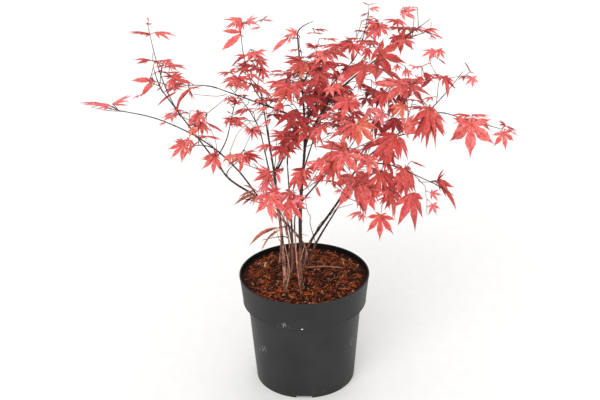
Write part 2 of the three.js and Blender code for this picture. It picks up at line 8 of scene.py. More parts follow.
import bpy
import numpy as np
from bpy.types import Collection, Material, Modifier, Node, NodeSocket, NodeTree, Object
from mathutils import Matrix, Vector, noise
from numpy import ndarray as Array

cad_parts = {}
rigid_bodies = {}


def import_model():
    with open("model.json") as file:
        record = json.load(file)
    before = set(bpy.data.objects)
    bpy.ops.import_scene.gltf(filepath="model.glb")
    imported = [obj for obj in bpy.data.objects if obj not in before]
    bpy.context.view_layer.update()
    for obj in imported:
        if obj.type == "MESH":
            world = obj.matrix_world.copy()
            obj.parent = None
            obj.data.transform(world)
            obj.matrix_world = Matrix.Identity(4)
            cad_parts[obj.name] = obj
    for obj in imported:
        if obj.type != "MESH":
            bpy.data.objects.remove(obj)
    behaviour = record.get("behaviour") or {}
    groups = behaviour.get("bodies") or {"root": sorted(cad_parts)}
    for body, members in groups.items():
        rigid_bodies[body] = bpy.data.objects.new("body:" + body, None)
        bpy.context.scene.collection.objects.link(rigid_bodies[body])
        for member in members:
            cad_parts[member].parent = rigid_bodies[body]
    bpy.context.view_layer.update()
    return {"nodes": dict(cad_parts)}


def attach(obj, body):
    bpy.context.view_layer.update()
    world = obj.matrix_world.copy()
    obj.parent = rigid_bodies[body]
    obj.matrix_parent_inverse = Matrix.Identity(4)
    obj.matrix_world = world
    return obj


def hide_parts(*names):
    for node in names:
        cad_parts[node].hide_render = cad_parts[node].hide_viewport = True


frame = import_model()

Pair = tuple[float, float]
Triple = tuple[float, float, float]
Colour = tuple[float, float, float, float]
Shape = tuple[Array, Array]
LOG = logging.getLogger("maple")
MM = 0.001
BODY = "root"
UP = np.array((0.0, 0.0, 1.0))


# Small vector helpers
def mm(*values: float) -> Array:
    """Returns a point given in millimetres, in metres."""
    return np.array(values, float) * MM


def unit(vector: Array) -> Array:
    """Returns the vector at a length of one."""
    return vector / max(np.linalg.norm(vector), 1e-12)


def turned(vector: Array, axis: Array, angle: float) -> Array:
    """Turns a vector about an axis.

    Args:
        vector: The vector.
        axis: The axis, one long.
        angle: The angle in radians.

    Returns:
        The turned vector.
    """
    across = np.cross(axis, vector) * math.sin(angle)
    return vector * math.cos(angle) + across + axis * (axis @ vector) * (1 - math.cos(angle))


def mixed(low: float, high: float, share: float) -> float:
    """Returns the value that lies that share of the way from low to high."""
    return low + (high - low) * share


class Draws:
    """The row of random numbers that the part's source draws for the same seed."""

    WORD = 0xFFFFFFFF

    def __init__(self, seed: int) -> None:
        """Starts the row at a seed."""
        self.state = seed

    def draw(self) -> float:
        """Returns the next number, from 0 to 1."""
        self.state = (self.state + 0x6D2B79F5) & self.WORD
        value = ((self.state ^ (self.state >> 15)) * (1 | self.state)) & self.WORD
        product = ((value ^ (value >> 7)) * (61 | value)) & self.WORD
        value = ((value + product) & self.WORD) ^ value
        return (value ^ (value >> 14)) / 4294967296

    def between(self, limits: Pair) -> float:
        """Returns a number between two limits."""
        return mixed(limits[0], limits[1], self.draw())

    def jitter(self, size: float) -> float:
        """Returns a number from minus size to size."""
        return size * (2 * self.draw() - 1)


# Curves that limbs, twigs and stalks follow
class Curve:
    """A smooth line, followed from 0 at its start to 1 at its end."""

    STEP = 0.0001
    FINE = 120

    def point(self, along: float) -> Array:
        """Returns the point at a share of the way."""
        raise NotImplementedError

    def tangent(self, along: float) -> Array:
        """Returns the direction at a share of the way."""
        low, high = max(0.0, along - self.STEP), min(1.0, along + self.STEP)
        return unit(self.point(high) - self.point(low))

    def samples(self, count: int) -> Array:
        """Returns count + 1 points along the curve."""
        return np.array([self.point(i / count) for i in range(count + 1)])

    def length(self) -> float:
        """Returns the curve's length."""
        return float(np.linalg.norm(np.diff(self.samples(self.FINE), axis=0), axis=1).sum())

    def even_points(self, count: int) -> Array:
        """Returns count + 1 points at even steps of length."""
        fine = self.samples(self.FINE)
        run = np.concatenate([[0.0], np.cumsum(np.linalg.norm(np.diff(fine, axis=0), axis=1))])
        steps = np.linspace(0, run[-1], count + 1)
        return np.stack([np.interp(steps, run, fine[:, axis]) for axis in range(3)], axis=1)


class ThroughPoints(Curve):
    """A curve through given points, rounded as the source rounds its limbs."""

    TENSION = 0.5

    def __init__(self, points: list[Array]) -> None:
        """Keeps the points, with one more beyond each end."""
        before = 2 * points[0] - points[1]
        after = 2 * points[-1] - points[-2]
        self.points = [before, *points, after]
        self.spans = len(points) - 1

    def point(self, along: float) -> Array:
        """Returns the point at a share of the way."""
        place = along * self.spans
        index = min(int(place), self.spans - 1)
        t = place - index
        p0, p1, p2, p3 = self.points[index:index + 4]
        t0, t1 = self.TENSION * (p2 - p0), self.TENSION * (p3 - p1)
        c2 = -3 * p1 + 3 * p2 - 2 * t0 - t1
        c3 = 2 * p1 - 2 * p2 + t0 + t1
        return p1 + t0 * t + c2 * t * t + c3 * t ** 3


class Bend(Curve):
    """A curve with one bend, as the source's twigs are."""

    def __init__(self, start: Array, pull: Array, end: Array) -> None:
        """Keeps the start, the point that the curve bends towards and the end."""
        self.start, self.pull, self.end = start, pull, end

    @classmethod
    def leaving(cls, start: Array, heading: Array, end: Array, pull: float = 0.35) -> "Bend":
        """Returns the bend that leaves its start in a given heading."""
        return cls(start, start + heading * np.linalg.norm(end - start) * pull, end)

    def point(self, along: float) -> Array:
        """Returns the point at a share of the way."""
        rest = 1 - along
        return self.start * rest ** 2 + self.pull * (2 * rest * along) + self.end * along ** 2


# Meshes
def ring_faces(rings: int, sides: int) -> list[Array]:
    """Joins rings of points into a closed skin, with a middle point at each end.

    Args:
        rings: How many rings there are.
        sides: How many points each ring has.

    Returns:
        Rows of triangles: the two halves of the sides, the first end and the last.
    """
    here = np.arange(sides)
    after = (here + 1) % sides
    rows = (np.arange(rings - 1) * sides)[:, None]
    a, b = (rows + here).ravel(), (rows + after).ravel()
    last, foot = (rings - 1) * sides, np.full(sides, rings * sides)
    corners = ((a, b, b + sides), (a, b + sides, a + sides), (foot, after, here),
               (foot + 1, last + here, last + after))
    return [np.stack(columns, axis=1) for columns in corners]


def tube(points: Array, radii: Array, sides: int) -> Shape:
    """Makes a closed tube along a line.

    Args:
        points: The line's points.
        radii: One radius for each point, or a row of one for each side.
        sides: How many sides the tube has.

    Returns:
        The tube's vertices, and its triangles as rows of vertex numbers.
    """
    tangents = np.gradient(points, axis=0)
    angles = np.arange(sides) * (2 * math.pi / sides)
    cosines, sines = np.cos(angles)[:, None], np.sin(angles)[:, None]
    radii = np.broadcast_to(np.atleast_2d(radii.T).T, (len(points), sides))
    first = np.cross(tangents[0], UP)
    normal = first if np.linalg.norm(first) > 1e-9 else np.array((1.0, 0.0, 0.0))
    rings = []
    for point, tangent, radius in zip(points, tangents, radii):
        tangent = unit(tangent)
        normal = unit(normal - tangent * (normal @ tangent))
        other = np.cross(tangent, normal)
        rings.append(point + radius[:, None] * (cosines * normal + sines * other))
    verts = np.concatenate([*rings, points[:1], points[-1:]])
    return verts, np.concatenate(ring_faces(len(points), sides))


def lathe(profile: list[Pair], segments: int) -> Shape:
    """Turns a profile that starts and ends on the Z axis about it.

    Args:
        profile: Radius and height of each point, in metres, from the top centre outwards and down.
        segments: How many segments go round.

    Returns:
        Vertices and triangles of the closed shape.
    """
    angles = np.arange(segments) * (2 * math.pi / segments)
    rings = [
        np.stack([r * np.cos(angles), r * np.sin(angles), np.full(segments, z)], axis=1)
        for r, z in profile[1:-1]
    ]
    ends = np.array([(0, 0, profile[0][1]), (0, 0, profile[-1][1])])
    near, far, top, bottom = ring_faces(len(rings), segments)
    return np.concatenate([*rings, ends]), np.concatenate([top, far, near, bottom])[:, [0, 2, 1]]


def linked(name: str, data: object) -> Object:
    """Returns a new object of that data, in the scene."""
    made = bpy.data.objects.new(name, data)
    bpy.context.scene.collection.objects.link(made)
    return made


def settle(piece: Object, modifier: Modifier) -> None:
    """Turns a modifier's result into the piece's own plain mesh."""
    depsgraph = bpy.context.evaluated_depsgraph_get()
    mesh = bpy.data.meshes.new_from_object(piece.evaluated_get(depsgraph), depsgraph=depsgraph)
    piece.modifiers.remove(modifier)
    piece.data = mesh


class MeshBank:
    """The vertices and triangles of one piece, gathered part by part."""

    def __init__(self, *shapes: Shape) -> None:
        """Starts the bank with the shapes given."""
        self.verts: list[Array] = []
        self.faces: list[Array] = []
        self.count = 0
        for shape in shapes:
            self.add(shape)

    def add(self, shape: Shape) -> None:
        """Adds a shape's vertices and triangles."""
        verts, faces = shape
        self.verts.append(verts)
        self.faces.append(faces + self.count)
        self.count += len(verts)

    def build(self, name: str, material: Material, sharp: float | None = None) -> Object:
        """Makes the piece, at the origin, with its place in its mesh.

        Args:
            name: The piece's name.
            material: Its material.
            sharp: The angle in degrees past which an edge stays sharp. None keeps the faces flat.

        Returns:
            The new object.
        """
        mesh = bpy.data.meshes.new(name)
        faces = np.concatenate(self.faces)
        mesh.from_pydata(np.concatenate(self.verts).tolist(), [], faces.tolist())
        mesh.materials.append(material)
        if sharp is not None:
            mesh.shade_smooth()
            mesh.set_sharp_from_angle(angle=math.radians(sharp))
        mesh.update()
        return linked(name, mesh)


def dressed(piece: Object, nodes: list[str]) -> Object:
    """Ties a finished piece to the frame and reports it.

    Args:
        piece: The piece, final in shape and place.
        nodes: The model's nodes that it stands for, if any.

    Returns:
        The same piece.
    """
    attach(piece, BODY)
    if nodes:
        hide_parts(*nodes)
    LOG.info("%s: %d faces", piece.name, len(piece.data.polygons))
    return piece


# Shader building
class Sock:
    """A socket that adds a Math node for each operator used on it."""

    def __init__(self, shader: "Shader", socket: NodeSocket) -> None:
        """Wraps an output socket of the shader."""
        self.shader, self.socket = shader, socket

    def _math(self, operation: str, first: "Sock | float", second: "Sock | float") -> "Sock":
        """Adds one Math node and returns its result."""
        node = self.shader.node("ShaderNodeMath", {"operation": operation}, {0: first, 1: second})
        return Sock(self.shader, node.outputs[0])

    def __add__(self, other: "Sock | float") -> "Sock":
        """Returns the sum."""
        return self._math("ADD", self, other)

    def __sub__(self, other: "Sock | float") -> "Sock":
        """Returns the difference."""
        return self._math("SUBTRACT", self, other)

    def __rsub__(self, other: float) -> "Sock":
        """Returns a number minus this value."""
        return self._math("SUBTRACT", other, self)

    def __mul__(self, other: "Sock | float") -> "Sock":
        """Returns the product."""
        return self._math("MULTIPLY", self, other)

    __radd__ = __add__
    __rmul__ = __mul__


def linear(colour: int) -> Colour:
    """Returns a colour written as a hex number, such as 0xD8494A, as the shader's linear values."""
    parts = [(colour >> shift & 255) / 255 for shift in (16, 8, 0)]
    values = [p / 12.92 if p <= 0.04045 else ((p + 0.055) / 1.055) ** 2.4 for p in parts]
    return (*values, 1.0)


def scaled(colour: Colour, share: float) -> Colour:
    """Returns a linear colour with its light scaled, up to white."""
    return (*(min(part * share, 1.0) for part in colour[:3]), 1.0)


class Shader:
    """A material under construction, with a Principled shader on Object coordinates."""

    def __init__(self, name: str) -> None:
        """Makes the material."""
        self.material = bpy.data.materials.new(name)
        self.material.use_nodes = True
        self.tree = self.material.node_tree
        self.principled = next(n for n in self.tree.nodes if n.type == "BSDF_PRINCIPLED")
        self.place = self.node("ShaderNodeTexCoord").outputs["Object"]

    def node(self, kind: str, settings: dict | None = None, sockets: dict | None = None) -> Node:
        """Adds a node.

        Args:
            kind: The node's type.
            settings: The node's own settings, set first.
            sockets: Values or links for its input sockets, by name or number.

        Returns:
            The new node.
        """
        node = self.tree.nodes.new(kind)
        for key, value in (settings or {}).items():
            setattr(node, key, value)
        for key, value in (sockets or {}).items():
            source = value.socket if isinstance(value, Sock) else value
            if isinstance(source, NodeSocket):
                self.tree.links.new(source, node.inputs[key])
            else:
                node.inputs[key].default_value = source
        return node

    def stretched(self, scale: Triple) -> NodeSocket:
        """Returns the object's coordinates, scaled apart along each axis."""
        return self.node("ShaderNodeMapping", None, {"Vector": self.place, "Scale": scale}).outputs[0]

    def noise(self, scale: float, detail: float = 3, place: NodeSocket | None = None) -> Sock:
        """Returns a noise of about 0.3 to 0.7 at that scale for each metre."""
        sockets = {"Vector": place or self.place, "Scale": scale, "Detail": detail}
        return Sock(self, self.node("ShaderNodeTexNoise", None, sockets).outputs["Fac"])

    def step(self, value: Sock, low: float, high: float) -> Sock:
        """Returns 0 below low, 1 above high and a smooth rise between."""
        sockets = {"Value": value, "From Min": low, "From Max": high}
        settings = {"interpolation_type": "SMOOTHSTEP"}
        return Sock(self, self.node("ShaderNodeMapRange", settings, sockets).outputs["Result"])

    def height(self) -> Sock:
        """Returns how high the point lies above the ground."""
        return Sock(self, self.node("ShaderNodeSeparateXYZ", None, {0: self.place}).outputs["Z"])

    def out(self) -> Sock:
        """Returns how far the point lies from the upright axis."""
        node = self.node("ShaderNodeVectorMath", {"operation": "LENGTH"}, {0: self.stretched((1, 1, 0))})
        return Sock(self, node.outputs["Value"])

    def near(self, centre: Array, inner: float, outer: float) -> Sock:
        """Returns 1 within the inner distance of a point and 0 past the outer one."""
        sockets = {0: self.place, 1: tuple(centre)}
        node = self.node("ShaderNodeVectorMath", {"operation": "DISTANCE"}, sockets)
        return 1 - self.step(Sock(self, node.outputs["Value"]), inner, outer)

    def blend(self, share: Sock, first: object, second: object) -> NodeSocket:
        """Mixes two colours, given as values or sockets."""
        settings = {"data_type": "RGBA", "clamp_factor": True}
        return self.node("ShaderNodeMix", settings, {0: share, 6: first, 7: second}).outputs[2]

    def bump(self, height: Sock, strength: float, distance: float) -> NodeSocket:
        """Returns a normal that stands for small relief."""
        sockets = {"Height": height, "Strength": strength, "Distance": distance}
        return self.node("ShaderNodeBump", None, sockets).outputs["Normal"]

    def finish(self, **sockets: object) -> Material:
        """Sets the Principled shader's sockets, named with _ for each space, and returns the material."""
        for key, value in sockets.items():
            target = self.principled.inputs[key.replace("_", " ")]
            source = value.socket if isinstance(value, Sock) else value
            if isinstance(source, NodeSocket):
                self.tree.links.new(source, target)
            else:
                target.default_value = source
        return self.material


# Camera, floor and lights
@dataclass(frozen=True)
class StudioCamera:
    """The camera at the photograph's viewing angle. Its pixels are those of a 600 by 400 frame."""

    place: Triple = (0.0, -1.7157, 1.1352)
    pitch: float = 24.7
    yaw: float = -0.19
    roll: float = -0.84
    lens: float = 66.0
    sensor: float = 36.0
    frame: tuple[int, int] = (600, 400)

    def axes(self) -> tuple[Array, Array, Array]:
        """Returns the camera's right, up and forward directions."""
        pitch, yaw, roll = (math.radians(angle) for angle in (self.pitch, self.yaw, self.roll))
        level = np.array((math.sin(yaw), math.cos(yaw), 0.0))
        forward = level * math.cos(pitch) - UP * math.sin(pitch)
        right = unit(np.cross(forward, UP))
        up = np.cross(right, forward)
        tilted_right = right * math.cos(roll) + up * math.sin(roll)
        return tilted_right, up * math.cos(roll) - right * math.sin(roll), forward

    def point(self, pixel: Pair, depth: float) -> Array:
        """Returns the point seen at a pixel.

        Args:
            pixel: The pixel, from the frame's top left corner.
            depth: The point's Y in metres.
        """
        right, up, forward = self.axes()
        focal = self.frame[0] * self.lens / self.sensor
        across, rise = pixel[0] - self.frame[0] / 2, self.frame[1] / 2 - pixel[1]
        ray = forward + (right * across + up * rise) / focal
        return np.array(self.place) + ray * ((depth - self.place[1]) / ray[1])

    def pixels(self, points: Array) -> Array:
        """Returns the pixels at which points are seen, one row each."""
        right, up, forward = self.axes()
        focal = self.frame[0] * self.lens / self.sensor
        offsets = np.atleast_2d(points) - np.array(self.place)
        depth = offsets @ forward
        across = self.frame[0] / 2 + focal * (offsets @ right) / depth
        return np.stack([across, self.frame[1] / 2 - focal * (offsets @ up) / depth], axis=1)

    def nearest(self, points: Array, pixel: Pair) -> Array:
        """Returns the point that is seen nearest to a pixel."""
        return points[np.argmin(np.linalg.norm(self.pixels(points) - np.array(pixel), axis=1))]

    def build(self) -> None:
        """Makes the camera and sets it as the scene's."""
        right, up, forward = self.axes()
        data = bpy.data.cameras.new("studio_camera")
        data.lens = self.lens
        data.sensor_width = self.sensor
        camera = linked("studio_camera", data)
        turn = Matrix([Vector(right), Vector(up), -Vector(forward)]).transposed()
        camera.matrix_world = Matrix.Translation(Vector(self.place)) @ turn.to_4x4()
        bpy.context.scene.camera = camera


@dataclass(frozen=True)
class SoftLight:
    """A wide soft light: where it comes from, how many degrees wide it is, and its strength."""

    name: str
    source: Triple
    width: float
    strength: float


@dataclass(frozen=True)
class Studio:
    """A plain pale floor, soft lights and a white surround."""

    floor_width: float = 12.0
    floor_colour: int = 0xF4F4F2
    surround: float = 0.73
    lights: tuple[SoftLight, ...] = (
        SoftLight("key_light", (-0.45, -1.1, 0.9), 44.0, 1.35),
        SoftLight("fill_light", (0.3, -1.2, 0.25), 50.0, 0.75),
        SoftLight("back_light", (0.2, 1.0, 1.2), 40.0, 0.5),
    )

    def build(self) -> None:
        """Makes the floor, the lights and the surround."""
        half = self.floor_width / 2
        corners = np.array([(-half, -half, 0), (half, -half, 0), (half, half, 0), (-half, half, 0)])
        bank = MeshBank((corners, np.array([(0, 1, 2), (0, 2, 3)])))
        shader = Shader("floor_paper")
        paper = shader.blend(shader.noise(40, 2), linear(self.floor_colour), linear(0xFAFAF8))
        bank.build("floor", shader.finish(Base_Color=paper, Roughness=0.9))
        world = bpy.data.worlds.new("studio_surround")
        world.use_nodes = True
        background = next(n for n in world.node_tree.nodes if n.type == "BACKGROUND")
        background.inputs["Color"].default_value = (1, 1, 1, 1)
        background.inputs["Strength"].default_value = self.surround
        bpy.context.scene.world = world
        bpy.context.scene.view_settings.view_transform = "Standard"
        for light in self.lights:
            data = bpy.data.lights.new(light.name, "SUN")
            data.angle = math.radians(light.width)
            data.energy = light.strength
            lamp = linked(light.name, data)
            lamp.rotation_euler = (-Vector(light.source)).to_track_quat("-Z", "Y").to_euler()


# Pot
@dataclass(frozen=True)
class PotPlastic:
    """Dark grey moulded plastic, a little scuffed and dusty, with painted shade on the inner wall above the
    mulch.
    """

    colour: int = 0x272728
    worn: int = 0x333534
    scuff: int = 0xA9ABA8
    fleck: int = 0xE8E8E4
    # painted shade: near-black colour for the inner wall above the mulch, which lies in the rim's shadow
    inside: int = 0x0E0D0D
    inner_shade_radius: float = 0.1128
    dust: int = 0x6B5747

    def material(self) -> Material:
        """Builds the material."""
        shader = Shader("pot_plastic")
        cloud = shader.step(shader.noise(14, 4), 0.35, 0.75)
        grain = shader.noise(1400, 2)
        base = shader.blend(cloud * 0.6, linear(self.colour), linear(self.worn))
        low = 1 - shader.step(shader.height(), 0.0, 0.03)
        dusty = low * shader.step(shader.noise(60, 5), 0.52, 0.75) * 0.3
        base = shader.blend(dusty, base, linear(self.dust))
        streaks = shader.noise(1, 2, shader.stretched((700, 700, 90)))
        marks = shader.step(streaks, 0.58, 0.66) * 0.8
        left = shader.near(mm(-77, -57, 85), 0.008, 0.016)
        front = shader.near(mm(-36, -103.2, 153.6), 0.005, 0.014)
        right = shader.near(mm(82, -46, 90), 0.004, 0.012)
        scuffed = marks * (left + front + right)
        base = shader.blend(scuffed, base, linear(self.scuff))
        fleck = shader.near(mm(-5, -109.6, 153.6), 0.0012, 0.0022)
        base = shader.blend(fleck, base, linear(self.fleck))
        # painted shade: the inner wall above the mulch is darkened to near black
        inner = 1 - shader.step(shader.out(), self.inner_shade_radius, self.inner_shade_radius + 0.0006)
        base = shader.blend(inner * shader.step(shader.height(), 0.192, 0.195), base, linear(self.inside))
        gloss = 0.42 + cloud * 0.14
        relief = grain * 0.6 + shader.noise(220, 3) * 0.8
        return shader.finish(
            Base_Color=base, Roughness=gloss, Specular_IOR_Level=0.18,
            Normal=shader.bump(relief, 0.12, 0.0006))


@dataclass(frozen=True)
class Pot:
    """The nursery pot: straight collar, step, tapering wall and notched foot. Sizes in millimetres."""

    height: float = 206.0
    rim_radius: float = 115.0
    collar_height: float = 52.6
    collar_foot: float = 109.4
    wall_top: float = 101.0
    foot_radius: float = 89.0
    thickness: float = 2.8
    step_slope: float = 1.2
    plate_radius: float = 54.0
    plate_slope: float = 2.0
    ring_radius: float = 84.0
    channel: float = 5.0
    base: float = 3.0
    notches: int = 4
    front_notch: float = -92.0
    notch_width: float = 28.0
    notch_height: float = 4.5
    notch_depth: float = 16.0
    hole_radius: float = 5.0
    segments: int = 192
    rounding: float = 0.9
    foot_rounding: float = 0.35
    bead: float = 0.7
    bead_top: float = 2.2
    bead_foot: float = 3.2
    foot_flare: float = 0.55
    flare_height: float = 7.0
    notch_chamfer: float = 1.5
    hole_reach: Pair = (5, 15)
    hole_sides: int = 20

    def profile(self) -> list[Pair]:
        """Returns the pot's section, from the inside's middle over the rim to the underside's middle."""
        foot = self.height - self.collar_height
        inner = self.thickness
        corners = [
            (0.0, self.channel + self.base),
            (self.foot_radius - inner, self.channel + self.base),
            (self.wall_top - inner, foot + inner),
            (self.collar_foot - inner, foot + inner),
            (self.rim_radius - inner, self.height),
            (self.rim_radius, self.height),
            (self.rim_radius, self.height - self.bead_top),
            (self.rim_radius - self.bead, self.height - self.bead_foot),
            (self.collar_foot, foot + 2.0),
            (self.collar_foot + self.bead * 0.5, foot + 1.2),
            (self.collar_foot + self.bead * 0.5, foot),
            (self.wall_top, foot + self.step_slope),
            (self.foot_radius + self.foot_flare, self.flare_height),
            (self.foot_radius, 0.0),
            (self.ring_radius, 0.0),
            (self.ring_radius, self.channel),
            (self.plate_radius + self.plate_slope, self.channel),
            (self.plate_radius, 0.0),
            (0.0, 0.0),
        ]
        return [(r * MM, z * MM) for r, z in self.rounded(corners)]

    def rounded(self, corners: list[Pair]) -> list[Pair]:
        """Rounds each corner between the ends over four steps."""
        points = [corners[0]]
        for before, corner, after in zip(corners, corners[1:], corners[2:]):
            here = np.array(corner)
            back, on = np.array(before) - here, np.array(after) - here
            size = self.rounding if corner[1] > self.notch_height else self.foot_rounding
            reach = min(size, np.linalg.norm(back) * 0.4, np.linalg.norm(on) * 0.4)
            bend = Bend(here + unit(back) * reach, here, here + unit(on) * reach)
            points += [tuple(p) for p in bend.samples(4)]
        return [*points, corners[-1]]

    def cutter(self) -> Object:
        """Makes one mesh of the foot ring's notches and the drain holes, to be cut away."""
        bank = MeshBank()
        for i in range(self.notches):
            turn = i / self.notches * 2 * math.pi + math.radians(self.front_notch)
            out = np.array((math.cos(turn), math.sin(turn), 0.0))
            across = np.cross(UP, out)
            middle = out * self.foot_radius
            reach = out * self.notch_depth / 2
            half = self.notch_width / 2
            section = [(-half, -2.0), (half, -2.0), (half, self.notch_height - 1.0)]
            section += [(half - self.notch_chamfer, self.notch_height)]
            section += [(self.notch_chamfer - half, self.notch_height)]
            section += [(-half, self.notch_height - 1.0)]
            near = [middle - reach + across * a + UP * z for a, z in section]
            far = [middle + reach + across * a + UP * z for a, z in section]
            count = len(section)
            faces = [(0, i + 1, i) for i in range(1, count - 1)]
            faces += [(count, count + i, count + i + 1) for i in range(1, count - 1)]
            for j in range(count):
                k = (j + 1) % count
                faces += [(j, k, count + k), (j, count + k, count + j)]
            bank.add((np.array(near + far) * MM, np.array(faces)))
            hole_turn = turn + math.pi / self.notches
            middle = (self.plate_radius + self.ring_radius) / 2
            centre = mm(middle * math.cos(hole_turn), middle * math.sin(hole_turn), 0)
            low, high = self.hole_reach
            line = np.array([centre - UP * low * MM, centre + UP * high * MM])
            bank.add(tube(line, np.full(2, self.hole_radius * MM), self.hole_sides))
        return bank.build("pot_cutter", PotPlastic().material())

    def build(self) -> None:
        """Makes the pot and cuts its notches and holes."""
        pot = MeshBank(lathe(self.profile(), self.segments)).build("pot_shell", PotPlastic().material())
        cutter = self.cutter()
        cut = pot.modifiers.new("cut", "BOOLEAN")
        cut.operation = "DIFFERENCE"
        cut.solver = "EXACT"
        cut.object = cutter
        settle(pot, cut)
        pot.data.shade_smooth()
        pot.data.set_sharp_from_angle(angle=math.radians(35))
        bpy.data.objects.remove(cutter)
        dressed(pot, ["pot"])


# Mulch
@dataclass(frozen=True)
class MulchFinish:
    """Composted bark in one plain tone, mottled and rough."""

    name: str
    colour: int
    shade: int

    def material(self) -> Material:
        """Builds the material."""
        shader = Shader(self.name)
        mottle = shader.step(shader.noise(320, 4), 0.35, 0.65)
        base = shader.blend(mottle, linear(self.shade), linear(self.colour))
        grain = shader.noise(1, 3, shader.stretched((2200, 2200, 900)))
        return shader.finish(
            Base_Color=base, Roughness=0.85, Specular_IOR_Level=0.15,
            Normal=shader.bump(grain, 0.5, 0.0008))


@dataclass(frozen=True)
class ShredKind:
    """One tone of shredded bark: how many shreds for each square metre and how large they are."""

    name: str
    finish: MulchFinish
    density: float
    sizes: Pair
    seed: int
    patchy: float = 0.0
    chunky: bool = False


@dataclass(frozen=True)
class ShredScatter:
    """Geometry Nodes that strew shreds over a surface."""

    tilt: float = 0.42
    patch_scale: float = 38.0

    def tree(self) -> NodeTree:
        """Builds the node tree, with named inputs for its sizes."""
        tree = bpy.data.node_groups.new("shred_scatter", "GeometryNodeTree")
        inputs = {
            "Surface": "NodeSocketGeometry", "Density": "NodeSocketFloat", "Seed": "NodeSocketInt",
            "Patches": "NodeSocketFloat",
            "Smallest": "NodeSocketFloat", "Largest": "NodeSocketFloat", "Tilt": "NodeSocketFloat",
            "Shreds": "NodeSocketCollection", "Finish": "NodeSocketMaterial",
        }
        for name, kind in inputs.items():
            tree.interface.new_socket(name=name, in_out="INPUT", socket_type=kind)
        tree.interface.new_socket(name="Mulch", in_out="OUTPUT", socket_type="NodeSocketGeometry")
        add, link = tree.nodes.new, tree.links.new
        start, end = add("NodeGroupInput").outputs, add("NodeGroupOutput").inputs
        spread = add("GeometryNodeDistributePointsOnFaces")
        link(start["Surface"], spread.inputs["Mesh"])
        cloud = add("ShaderNodeTexNoise")
        cloud.inputs["Scale"].default_value = self.patch_scale
        above, some = add("FunctionNodeCompare"), add("ShaderNodeMath")
        above.operation, some.operation = "GREATER_THAN", "MULTIPLY"
        link(cloud.outputs[0], above.inputs[0])
        link(start["Patches"], above.inputs[1])
        link(above.outputs[0], some.inputs[0])
        link(start["Density"], some.inputs[1])
        link(some.outputs[0], spread.inputs["Density"])
        link(start["Seed"], spread.inputs["Seed"])
        tilt_low, tilt_high = add("ShaderNodeCombineXYZ"), add("ShaderNodeCombineXYZ")
        minus = add("ShaderNodeMath")
        minus.operation = "MULTIPLY"
        minus.inputs[1].default_value = -1
        link(start["Tilt"], minus.inputs[0])
        for axis in ("X", "Y"):
            link(minus.outputs[0], tilt_low.inputs[axis])
            link(start["Tilt"], tilt_high.inputs[axis])
        tilt_high.inputs["Z"].default_value = 2 * math.pi
        turn = add("FunctionNodeRandomValue")
        turn.data_type = "FLOAT_VECTOR"
        link(tilt_low.outputs[0], turn.inputs["Min"])
        link(tilt_high.outputs[0], turn.inputs["Max"])
        link(start["Seed"], turn.inputs["Seed"])
        euler = add("FunctionNodeEulerToRotation")
        link(turn.outputs[0], euler.inputs[0])
        size = add("FunctionNodeRandomValue")
        size.data_type = "FLOAT"
        link(start["Smallest"], size.inputs[2])
        link(start["Largest"], size.inputs[3])
        link(start["Seed"], size.inputs["Seed"])
        shreds = add("GeometryNodeCollectionInfo")
        shreds.inputs["Separate Children"].default_value = True
        shreds.inputs["Reset Children"].default_value = True
        link(start["Shreds"], shreds.inputs["Collection"])
        place = add("GeometryNodeInstanceOnPoints")
        place.inputs["Pick Instance"].default_value = True
        link(spread.outputs["Points"], place.inputs["Points"])
        link(shreds.outputs[0], place.inputs["Instance"])
        link(euler.outputs[0], place.inputs["Rotation"])
        link(size.outputs[1], place.inputs["Scale"])
        real, paint = add("GeometryNodeRealizeInstances"), add("GeometryNodeSetMaterial")
        link(place.outputs[0], real.inputs[0])
        link(real.outputs[0], paint.inputs["Geometry"])
        link(start["Finish"], paint.inputs["Material"])
        link(paint.outputs[0], end["Mulch"])
        return tree

    def strewn(self, tree: NodeTree, surface: Object, kind: ShredKind,
               shreds: Collection) -> Object:
        """Strews one kind of shred.

        Args:
            tree: The node tree.
            surface: The surface that the shreds lie on.
            kind: The shreds' tone, number and size.
            shreds: The shapes to pick from.

        Returns:
            The shreds as one plain mesh object.
        """
        carrier = linked(kind.name, surface.data)
        scatter = carrier.modifiers.new("scatter", "NODES")
        scatter.node_group = tree
        values = {
            "Density": kind.density, "Seed": kind.seed, "Patches": kind.patchy, "Smallest": kind.sizes[0],
            "Largest": kind.sizes[1], "Tilt": self.tilt, "Shreds": shreds,
            "Finish": kind.finish.material(),
        }
        for item in tree.interface.items_tree:
            if item.name in values:
                scatter[item.identifier] = values[item.name]
        settle(carrier, scatter)
        return carrier


